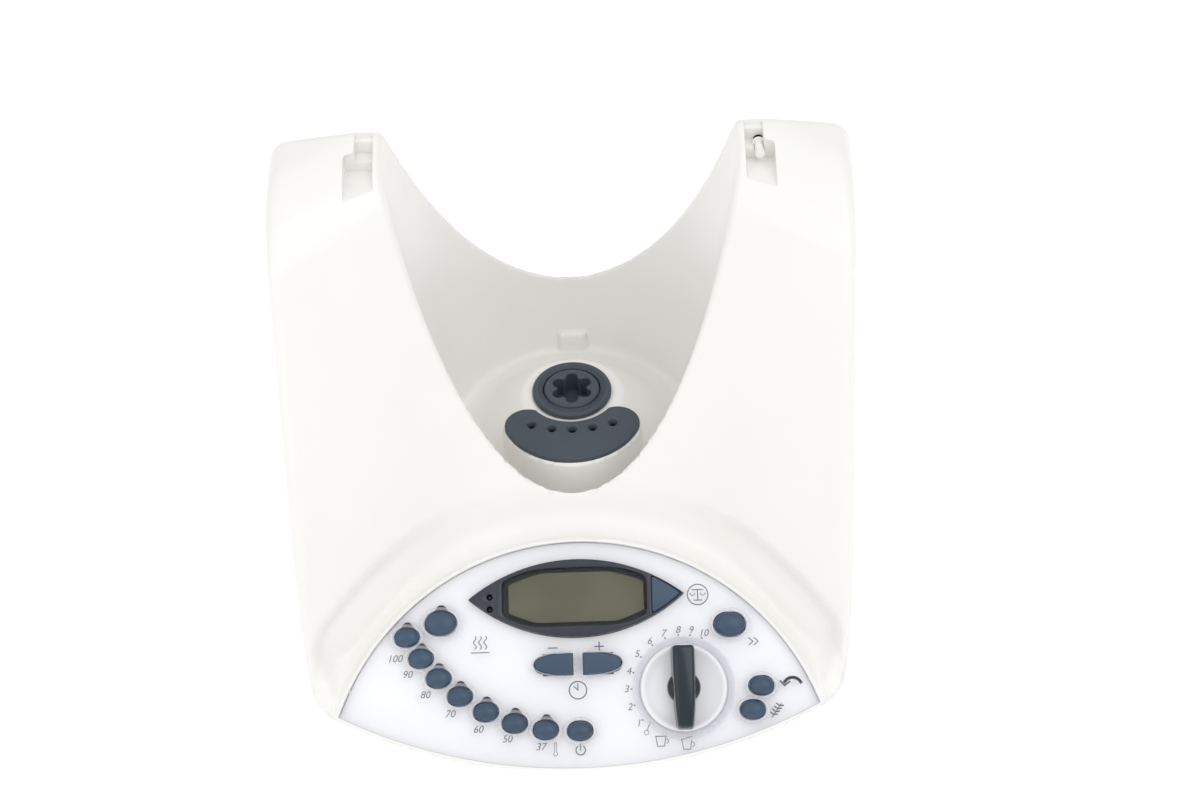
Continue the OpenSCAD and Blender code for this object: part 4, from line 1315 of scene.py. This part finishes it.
    @staticmethod
    def _band(
        outer: list[Point], inner: list[Point], low: float, high: float, edge: float = 0.0
    ) -> bmesh.types.BMesh:
        """Makes a flat band between two outlines of as many points.

        Args:
            outer: Outer outline.
            inner: Inner outline.
            low: Height of the underside.
            high: Height of the top.
            edge: Radius of the top edges.

        Returns:
            The closed band.
        """
        bm = bmesh.new()
        loops = []
        for outline in (outer, inner):
            verts = [bm.verts.new((x, y, low)) for x, y in outline]
            loops.append([bm.edges.new(pair) for pair in zip(verts, verts[1:] + verts[:1])])
        made = bmesh.ops.bridge_loops(bm, edges=loops[0] + loops[1])
        up = bmesh.ops.extrude_face_region(bm, geom=made["faces"])
        top = [g for g in up["geom"] if isinstance(g, bmesh.types.BMVert)]
        bmesh.ops.translate(bm, verts=top, vec=(0, 0, high - low))
        bmesh.ops.recalc_face_normals(bm, faces=bm.faces)
        if edge:
            flat = [f for f in bm.faces if abs(f.normal.z) > 0.9]
            rim = [e for e in Mesher.above(bm, high - 1e-4) if sum(f in flat for f in e.link_faces) == 1]
            Mesher.round_edges(bm, rim, edge, 2)
        return bm

    @staticmethod
    def _collar(x: float, v: float, width: float, height: float) -> bmesh.types.BMesh:
        """Makes the soft raised lip round an oval hole."""
        foot, spread = -0.3, 5.2
        crest = [(1.0, 0.3), (1.06, 0.5), (1.14, 0.5), (1.24, 0.3), (1.32, -0.05)]
        bm = Mesher.lathe([(1.0, foot), *crest, (1.32, foot), (1.0, foot)], 48)
        for vert in bm.verts:
            reach = math.hypot(vert.co.x, vert.co.y)
            extra = (reach - 1.0) * spread
            vert.co.x *= (width / 2 + extra) / reach
            vert.co.y *= (height / 2 + extra) / reach
        return Mesher.shift(bm, x, v)

    def _display(self) -> None:
        """Models the dark frame round the screen, its small lights and the pointed key."""
        rim = Mesher.prism(self.display_outline(0.0), self.seat, 0.7, 0.9, 4)
        bezel = Mesher.object("display_frame", rim, self.at())
        light_x, light_v, apart = -43, self.display_v - 2.5, (-3, 3)
        openings = [self.screen_outline(0.0), self.scale_outline(0.35)]
        openings += [Outline.oval(3.2, 3.2, 24, light_x, light_v + gap) for gap in apart]
        Mesher.cut(bezel, [Mesher.tool(Mesher.prism(outline, -8.0, 3.0), self.at()) for outline in openings])
        Mesher.soften(bezel, 0.4, 2)
        Mesher.settle_in(bezel, "base", DISPLAY_DARK, "display_dark", ["display_bezel"], 40.0)
        dome = [(0.0, 0.5), (0.8, 0.35), (1.3, -0.1), (1.45, -0.8), (1.45, -2.6), (0.0, -2.6)]
        lights = [Mesher.shift(Mesher.lathe(dome, 32), light_x, light_v + gap, -1.4) for gap in apart]
        lamps = Mesher.object("display_lights", Mesher.join(lights), self.at())
        Mesher.settle_in(lamps, "base", KNOB_DARK, "display_dark", angle=32.0)
        key = Mesher.prism(self.scale_outline(0.0), -6.2, 1.3)
        Mesher.round_edges(key, Mesher.above(key, 1.2), 0.8, 4)
        piece = Mesher.object("key_scale", key, self.at())
        Mesher.settle_in(piece, "button_scale", BUTTON_BLUE, "button_blue", ["button_scale"], 40.0)

    def _keys(self) -> None:
        """Models the domed oval keys and the minus and plus keys."""
        foot = -6.5
        dome = [(0.0, 2.5), (0.2, 2.45), (0.4, 2.27), (0.58, 1.96), (0.74, 1.52), (0.87, 0.95), (0.96, 0.3)]
        skirt = [(1.0, -0.5), (1.0, -5.72), (1.08, -5.72), (1.08, foot), (0.0, foot)]
        for key in self.keys():
            bm = Mesher.lathe(dome + skirt, 48)
            bmesh.ops.scale(bm, verts=bm.verts, vec=(key.width / 2, key.height / 2, 1.0))
            piece = Mesher.object(key.name.replace("button", "key"), bm, self.at(key.x, key.v))
            Mesher.settle_in(piece, key.name, BUTTON_BLUE, "button_blue", [key.name], 45.0)
        for name, side in (("minus", -1.0), ("plus", 1.0)):
            bm = Mesher.prism(self.pair_outline(side, 0.0), foot, 1.9)
            upright = [e for e in Mesher.upright(bm) if len(e.link_faces) == 2]
            corners = [e for e in upright if e.calc_face_angle(0.0) > math.radians(35)]
            Mesher.round_edges(bm, corners, 1.5, 5, True)
            Mesher.round_edges(bm, Mesher.above(bm, 1.8), 1.5, 5, True)
            piece = Mesher.object(f"key_{name}", bm, self.at())
            Mesher.settle_in(piece, f"button_{name}", BUTTON_BLUE, "button_blue", [f"button_{name}"], 40.0)

    def _lights(self) -> None:
        """Models the dark marker domes that look out behind the temperature keys."""
        caps = []
        middles = [self.on_arc(turn) for turn in self.turns]
        places = [(x + 0.6, v + 3.8, 1.0) for x, v in middles] + [(-67.2, 80.1, 1.15)]
        for x, v, grow in places:
            wide, narrow, peak = 4.7 * grow, 1.1 * grow, 3.7 * grow
            cap = Mesher.prism([(-wide, -1.0), (wide, -1.0), (narrow, peak), (-narrow, peak)], -4.0, 0.12)
            Mesher.round_edges(cap, Mesher.upright(cap), 0.7, 3)
            caps.append(Mesher.shift(cap, x, v))
        piece = Mesher.object("marker_caps", Mesher.join(caps), self.at())
        Mesher.settle_in(piece, "base", DISPLAY_DARK, "display_dark", ["marker_lights"], 32.0)

    def _print(self) -> None:
        """Prints the figures and signs inside the cover."""
        low, high = self.print_low, self.print_high
        marks: list[bmesh.types.BMesh] = []

        def word(text: str, x: float, v: float, size: float = 5.0) -> None:
            """Adds figures."""
            marks.append(Stroke.word(text, x, v, size, low, high))

        def line(points: Sequence[Point], width: float = 0.5) -> None:
            """Adds a line."""
            marks.append(Stroke.line(points, width, low, high))

        spots = (
            (-90.7, 58.4), (-84.6, 50.5), (-75.9, 40.3), (-63.7, 30.6), (-50.0, 22.6), (-35.8, 17.5),
            (-19.4, 13.2),
        )
        for name, (x, v) in zip(self.names, spots):
            word(name, x, v)
        figure_r, tick_r = 28.4, 25.9
        for k, turn in enumerate(self.figures):
            a = math.radians(turn)
            word(str(k + 1), self.knob_x - figure_r * math.sin(a), self.knob_v - figure_r * math.cos(a), 4.9)
            x, v = self.knob_x - tick_r * math.sin(a), self.knob_v - tick_r * math.cos(a)
            line([(x - 0.2, v), (x + 0.2, v)], 0.7)
        minus, plus = [(-14.4, 61.4), (-10.0, 61.4)], [(8.6, 61.5), (13.0, 61.5)]
        for stroke in (minus, plus, [(10.8, 59.3), (10.8, 63.7)]):
            line(stroke, 0.6)
        self._signs(line)
        piece = Mesher.object("panel_marks", Mesher.join(marks), self.at())
        Mesher.settle_in(piece, "base", MARK_GREY, "display_dark")

    @staticmethod
    def _signs(line: Callable[..., None]) -> None:
        """Draws the plain signs beside the keys and round the knob.

        Args:
            line: Adds a line along points, of a width.
        """
        line(Outline.arc(-0.3, 40.3, 4.3, 0, 360, 40), 0.55)
        line([(-0.3, 40.3), (-0.3, 43.4)])
        line([(-0.3, 40.3), (-2.2, 42.2)])
        bulb, tip = Outline.arc(-12.1, 9.6, 0.95, -240, 60, 16), Outline.arc(-12.1, 14.6, 0.55, 0, 180, 10)
        line([*bulb, *tip, (-12.6, 10.4)], 0.3)
        line(Outline.arc(0.2, 11.1, 2.3, -235, 55, 28), 0.5)
        line([(0.2, 11.0), (0.2, 14.4)])
        for k in (-1, 0, 1):
            line([(-48.2 + 2.6 * k + 0.7 * math.sin(t * 0.9), 62.0 + t * 0.62) for t in range(11)], 0.45)
        line([(-52.6, 60.2), (-43.8, 60.2)], 0.5)
        line(Outline.arc(60.6, 85.6, 5.1, 0, 360, 40), 0.5)
        line([(58.0, 88.0), (63.2, 88.0)])
        line([(60.6, 88.0), (60.6, 83.0)])
        line([(58.6, 82.8), (62.6, 82.8)])
        for x in (58.0, 63.2):
            line(Outline.arc(x, 86.4, 1.2, 180, 360, 8), 0.35)
        for k in (0, 1):
            line([(85.0 + 2.6 * k, 63.4), (87.0 + 2.6 * k, 61.6), (85.0 + 2.6 * k, 59.8)], 0.5)
        line(Outline.arc(105.6, 38.6, 4.6, 25, 150, 20), 1.5)
        line([(99.6, 41.6), (101.6, 39.4), (104.2, 41.2)], 0.9)
        line([(94.6, 24.0), (99.6, 30.6)], 0.45)
        for k in range(4):
            x, v = 95.6 + 1.05 * k, 25.4 + 1.4 * k
            line([(x, v), (x - 1.5, v + 1.2)], 0.7)
            line([(x, v), (x + 1.8, v + 0.1)], 0.7)
        line(Outline.arc(32.8, 18.6, 1.1, 0, 360, 16), 0.3)
        line([(33.2, 19.7), (34.8, 23.8)], 0.4)
        for x, v, lid in ((39.7, 14.2, 0.0), (52.4, 12.3, 1.3)):
            line([(x - 2.4, v + 2.0), (x - 1.7, v - 2.4), (x + 1.7, v - 2.4), (x + 2.4, v + 2.0)], 0.4)
            line([(x - 2.7, v + 2.4), (x + 2.7, v + 2.4 + lid)], 0.45)
            line(Outline.arc(x + 2.6, v, 1.1, -80, 80, 8), 0.35)


# --- Speed knob ---


@dataclass
class SpeedKnob:
    """The dial: a frosted dish with a dark hub and bar handle, and the clear collar that it turns in.

    Attributes:
        panel: The panel that it sits on.
        dish_r: Radius of the dish.
        hub_r: Radius of the hub.
        top_w: Width of the bar at its far end.
        tip_w: Width of the bar at its near end.
        top: Height of the bar.
    """

    panel: Panel
    dish_r: float = 21.4
    hub_r: float = 8.3
    top_w: float = 12.3
    tip_w: float = 8.6
    top: float = 14.0

    def build(self) -> None:
        """Builds the collar, dish and handle."""
        at = self.panel.at(self.panel.knob_x, self.panel.knob_v)
        seat = -4.3
        collar = [
            (25.3, seat), (25.3, -0.2), (25.0, 0.15), (24.5, 0.2), (23.9, -0.1), (22.6, -1.5), (22.0, -2.4),
            (22.0, seat), (25.3, seat),
        ]
        ring = Mesher.object("knob_collar", Mesher.lathe(collar), at)
        Mesher.settle_in(ring, "base", COVER_EDGE, "clear_cover", angle=50.0)
        r = self.dish_r
        dish = [
            (0.0, -1.9), (self.hub_r + 1.0, -1.9), (12.0, -1.8), (15.0, -1.5), (17.5, -1.0), (r - 2.4, -0.3),
            (r - 1.5, 0.0), (r - 0.7, -0.05), (r - 0.15, -0.4), (r, -1.0), (r, -3.2), (0.0, -3.2),
        ]
        plate = Mesher.object("knob_dish_skin", Mesher.lathe(dish), at)
        Mesher.settle_in(plate, "knob", KNOB_PALE, "knob_pale", ["knob_dish"], 50.0)
        self._handle(at)

    def _handle(self, at: Matrix) -> None:
        """Models the hub and the bar that the hand turns."""
        dome = [(0.0, 4.2), (5.2, 4.0), (7.2, 3.2), (8.1, 1.8), (8.3, 0.0), (8.3, -1.9), (0.0, -1.9)]
        hub = Mesher.lathe(dome, 64)
        far, near, foot = 20.6, -20.8, -0.6
        right = [
            (self.tip_w / 2, near), (self.tip_w / 2 + 1.2, -10.0), (self.top_w / 2 - 0.2, 0.0),
            (self.top_w / 2, 10.0), (self.top_w / 2, far),
        ]
        left = [(-x, y) for x, y in reversed(right)]
        bar = Mesher.prism(left[-1:] + right + left[:-1], foot, self.top)
        for vert in bar.verts:
            high = (vert.co.z - foot) / (self.top - foot)
            vert.co.x *= 1.0 - 0.16 * high
            vert.co.y *= 1.0 - 0.035 * high
            if vert.co.y < 0 and high > 0.5:
                vert.co.z -= 3.2 * (vert.co.y / near) ** 2
        Mesher.round_edges(bar, bar.edges, 1.7, 4, True)
        piece = Mesher.object("knob_handle_skin", Mesher.join([hub, bar]), at)
        Mesher.settle_in(piece, "knob", KNOB_DARK, "knob_dark", ["knob_handle"], 40.0)


# --- Bowl well fittings ---


@dataclass
class WellFittings:
    """The coupling seal, lobed coupling and contact strip on the well's raised floor.

    Attributes:
        form: Shape of the body.
        seal_r: Radius of the seal.
        seal_top: Height of the seal's bead.
        coupling_r: Radius of the coupling.
        socket_r: Radius of the socket's middle.
        lobe_r: Radius of its lobes.
        depth: Depth of the socket.
        strip_top: Height of the strip over the floor.
    """

    form: BodyForm
    seal_r: float = 21.0
    seal_top: float = 105.3
    coupling_r: float = 14.7
    socket_r: float = 7.95
    lobe_r: float = 3.3
    depth: float = 12.0
    strip_top: float = 2.6

    def build(self) -> None:
        """Builds the three fittings."""
        self._seal()
        self._coupling()
        self._strip()

    def _seal(self) -> None:
        """Models the rubber seal: a round bead, a groove and an inner lip."""
        z, r = self.seal_top, self.seal_r
        base = self.form.stand_z
        foot = [
            (15.3, base - 3.3), (16.6, base - 3.3), (16.6, base + 0.02), (r - 0.6, base + 0.02),
            (r, base + 0.9),
        ]
        bead = (
            (0.0, 2.0), (0.35, 1.0), (1.1, 0.35), (2.1, 0.1), (3.0, 0.4), (3.6, 1.1), (4.0, 1.5), (4.8, 1.5),
            (5.2, 1.1), (5.5, 0.7),
        )
        profile = foot + [(r - inward, z - down) for inward, down in bead] + [(15.3, z - 0.75), foot[0]]
        at = Matrix.Translation((0, self.form.well_y, 0))
        piece = Mesher.object("seal_ring", Mesher.lathe(profile), at)
        Mesher.settle_in(piece, "base", DARK_RUBBER, "dark_rubber", ["coupling_seal"], 50.0)

    def _coupling(self) -> None:
        """Models the turning coupling with its six-lobed socket."""
        top, r = self.form.stand_z + 3.6, self.coupling_r
        profile = [
            (0.0, top - 0.2), (r - 3.2, top - 0.2), (r - 2.6, top + 0.15), (r - 1.2, top + 0.15),
            (r - 0.4, top - 0.2), (r, top - 0.9), (r, top - 22.0), (0.0, top - 22.0),
        ]
        at = Matrix.Translation((0, self.form.well_y, 0))
        hub = Mesher.object("coupling_hub", Mesher.lathe(profile), at)
        lobes = [Outline.oval(2 * self.socket_r, 2 * self.socket_r, 72)]
        for k in range(6):
            a = math.radians(30 + 60 * k)
            x, y = self.socket_r * math.cos(a), self.socket_r * math.sin(a)
            lobes.append(Outline.oval(2 * self.lobe_r, 2 * self.lobe_r, 32, x, y))
        tools = [Mesher.prism(o, top - self.depth - 0.01 * k, top + 5) for k, o in enumerate(lobes)]
        tools.append(Mesher.prism(Outline.oval(10.0, 10.0, 32), top - 30, top - self.depth - 0.5))
        Mesher.cut(hub, [Mesher.tool(tool, at) for tool in tools])
        Mesher.soften(hub, 0.5, 3)
        Mesher.settle_in(hub, "drive", DARK_RUBBER, "knob_dark", ["drive_coupling"], 45.0)

    def strip_outline(self) -> list[Point]:
        """Outline of the contact strip: a crescent with round ends that keeps clear of the seal."""
        form, y0 = self.form, self.form.well_y
        ends_x, ends_y, end_r = form.strip_x, y0 - form.strip_ahead, form.strip_end_r
        low_y, low_r, hollow_r = y0 - form.strip_low, form.strip_low_r, form.strip_hollow
        reach = math.hypot(ends_x, ends_y - y0)
        turn = math.atan2(ends_y - y0, ends_x)
        bite = math.acos((reach**2 + hollow_r**2 - end_r**2) / (2 * reach * hollow_r))
        outer = turn + bite
        corner = (hollow_r * math.cos(outer), y0 + hollow_r * math.sin(outer))
        start = math.atan2(corner[1] - ends_y, corner[0] - ends_x)
        lean = math.atan2(ends_y - low_y, ends_x)
        right = Outline.arc(ends_x, ends_y, end_r, math.degrees(lean), math.degrees(start), 28)
        low = Outline.arc(0.0, low_y, low_r, math.degrees(-math.pi - lean), math.degrees(lean), 56)
        left = [(-x, y) for x, y in reversed(right)]
        hollow = Outline.arc(0.0, y0, hollow_r, math.degrees(-math.pi - outer), math.degrees(outer), 40)
        whole = low + right + list(reversed(hollow)) + left
        return [p for p, q in zip(whole, whole[1:] + whole[:1]) if math.dist(p, q) > 0.05]

    def _strip(self) -> None:
        """Models the contact strip with five holes in shallow round collars."""
        z = self.form.stand_z
        top = z + self.strip_top
        strip = Mesher.object("contact_pad", Mesher.prism(self.strip_outline(), z + 0.02, top, 0.9, 4))
        spots = self.form.contacts()
        drill = [(0, z - 2), (1.7, z - 2), (1.7, z + 1.6), (2.3, z + 2.2), (2.5, z + 3.4), (0, z + 3.4)]
        Mesher.cut(strip, [Mesher.tool(Mesher.shift(Mesher.lathe(drill, 32), x, y)) for x, y in spots])
        Mesher.settle_in(strip, "base", DARK_RUBBER, "dark_rubber", ["contact_strip"], 45.0)
        foot = top - 0.4
        lip = [
            (2.45, foot), (2.45, top + 0.02), (2.8, top + 0.3), (3.5, top + 0.32), (4.3, top - 0.02),
            (4.3, foot), (2.45, foot),
        ]
        collars = Mesher.join([Mesher.shift(Mesher.lathe(lip, 40), x, y) for x, y in spots])
        lips = Mesher.object("contact_collars", collars)
        Mesher.settle_in(lips, "base", DARK_RUBBER, "dark_rubber", angle=60.0)


# --- CAD parts that stay in sight ---


@dataclass
class Carried:
    """The CAD parts that keep their own shape and get a finish."""

    nodes: dict[str, bpy.types.Object]

    def build(self) -> None:
        """Dresses every CAD part by the record's material slot; the clear parts left are windows."""
        plain = (
            BODY_WHITE, BASE_GREY, PANEL_PRINT, DISPLAY_DARK, SCREEN_GREEN, BUTTON_BLUE, DARK_RUBBER,
            KNOB_DARK, KNOB_PALE, BOARD_GREEN, PART_BLACK, STEEL, ALLOY, WINDING, BRASS_AND_HOLE_SHADE,
        )
        finishes = {finish.name: finish for finish in plain} | {"clear_cover": WINDOW}
        for node, slot in self.slots().items():
            mesh = self.nodes[node].data
            mesh.materials.clear()
            mesh.materials.append(finishes[slot].material())

    @staticmethod
    def slots() -> dict[str, str]:
        """Reads each CAD part's material slot from the record."""
        return {part["node"]: part["material_slot"] for part in frame["record"]["subparts"]}


@dataclass
class Studio:
    """Floor, soft lights and camera.

    Attributes:
        eye: Place of the camera in millimetres.
        sight: Point that it looks at.
        roll: Roll of the camera in degrees.
        lens: Focal length on a 36 mm wide sensor.
        daylight: Colour of the lamps.
    """

    eye: tuple[float, float, float] = (23.9, -719.8, 835.1)
    sight: tuple[float, float, float] = (16.2, 3.11, 136.69)
    roll: float = 2.34
    lens: float = 2000.0 / 1204.0 * 36.0
    daylight: tuple[float, float, float] = (0.96, 0.98, 1.0)

    def build(self) -> None:
        """Makes the floor, the world, the lights and the camera."""
        self._floor()
        self._world()
        lamps = (
            ("key", (700, -700, 1500), 1.1, 5.8),
            ("fill", (-900, -800, 1100), 1.3, 3.6),
            ("top", (0, 100, 1700), 1.6, 2.4),
        )
        for name, place, size, power in lamps:
            self._light(name, place, size, power)
        self._camera()

    def _floor(self) -> None:
        """Lays a plain pale floor."""
        bm = bmesh.new()
        bmesh.ops.create_grid(bm, x_segments=8, y_segments=8, size=4000.0)
        floor = Mesher.object("floor", bm)
        mat = bpy.data.materials.new("floor_white")
        mat.use_nodes = True
        shader = mat.node_tree.nodes["Principled BSDF"]
        shader.inputs["Base Color"].default_value = (0.93, 0.93, 0.93, 1.0)
        shader.inputs["Roughness"].default_value = 0.9
        shader.inputs["Emission Color"].default_value = (1.0, 1.0, 1.0, 1.0)
        shader.inputs["Emission Strength"].default_value = 0.3
        floor.data.materials.append(mat)

    def _world(self) -> None:
        """Lights the room evenly."""
        world = bpy.data.worlds.new("room")
        world.use_nodes = True
        sky = world.node_tree.nodes["Background"]
        sky.inputs["Color"].default_value = (1.0, 1.0, 1.0, 1.0)
        sky.inputs["Strength"].default_value = 0.75
        bpy.context.scene.world = world
        bpy.context.scene.view_settings.view_transform = "Standard"

    def _light(self, name: str, place: tuple[float, float, float], size: float, power: float) -> None:
        """Hangs a soft square light that faces the object.

        Args:
            name: Name of the light.
            place: Its place in millimetres.
            size: Its side in metres.
            power: Its power in watts.
        """
        lamp = bpy.data.lights.new(name, "AREA")
        lamp.size = size
        lamp.energy = power
        lamp.color = self.daylight
        light = bpy.data.objects.new(name, lamp)
        light.location = Vector(place) * MM
        light.rotation_euler = (Vector((0, 0, 0.12)) - light.location).to_track_quat("-Z", "Y").to_euler()
        bpy.context.scene.collection.objects.link(light)

    def _camera(self) -> None:
        """Sets up the camera."""
        data = bpy.data.cameras.new("camera")
        data.sensor_width = 36.0
        data.lens = self.lens
        camera = bpy.data.objects.new("camera", data)
        back = (Vector(self.eye) - Vector(self.sight)).normalized()
        right = (-back).cross(Vector((0, 0, 1))).normalized()
        up = right.cross(-back)
        tilt = math.radians(self.roll)
        across = right * math.cos(tilt) - up * math.sin(tilt)
        over = right * math.sin(tilt) + up * math.cos(tilt)
        frame_of_view = Matrix((across, over, back)).transposed().to_4x4()
        camera.matrix_world = Matrix.Translation(Vector(self.eye) * MM) @ frame_of_view
        bpy.context.scene.collection.objects.link(camera)
        bpy.context.scene.camera = camera


def main() -> None:
    """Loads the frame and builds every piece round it."""
    logging.basicConfig(level=logging.INFO, format="%(message)s")
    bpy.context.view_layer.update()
    Studio().build()
    Carried(frame["nodes"]).build()
    housing = Housing()
    housing.build()
    panel = Panel(housing)
    panel.build()
    SpeedKnob(panel).build()
    WellFittings(housing.form).build()


if __name__ == "__main__":
    main()
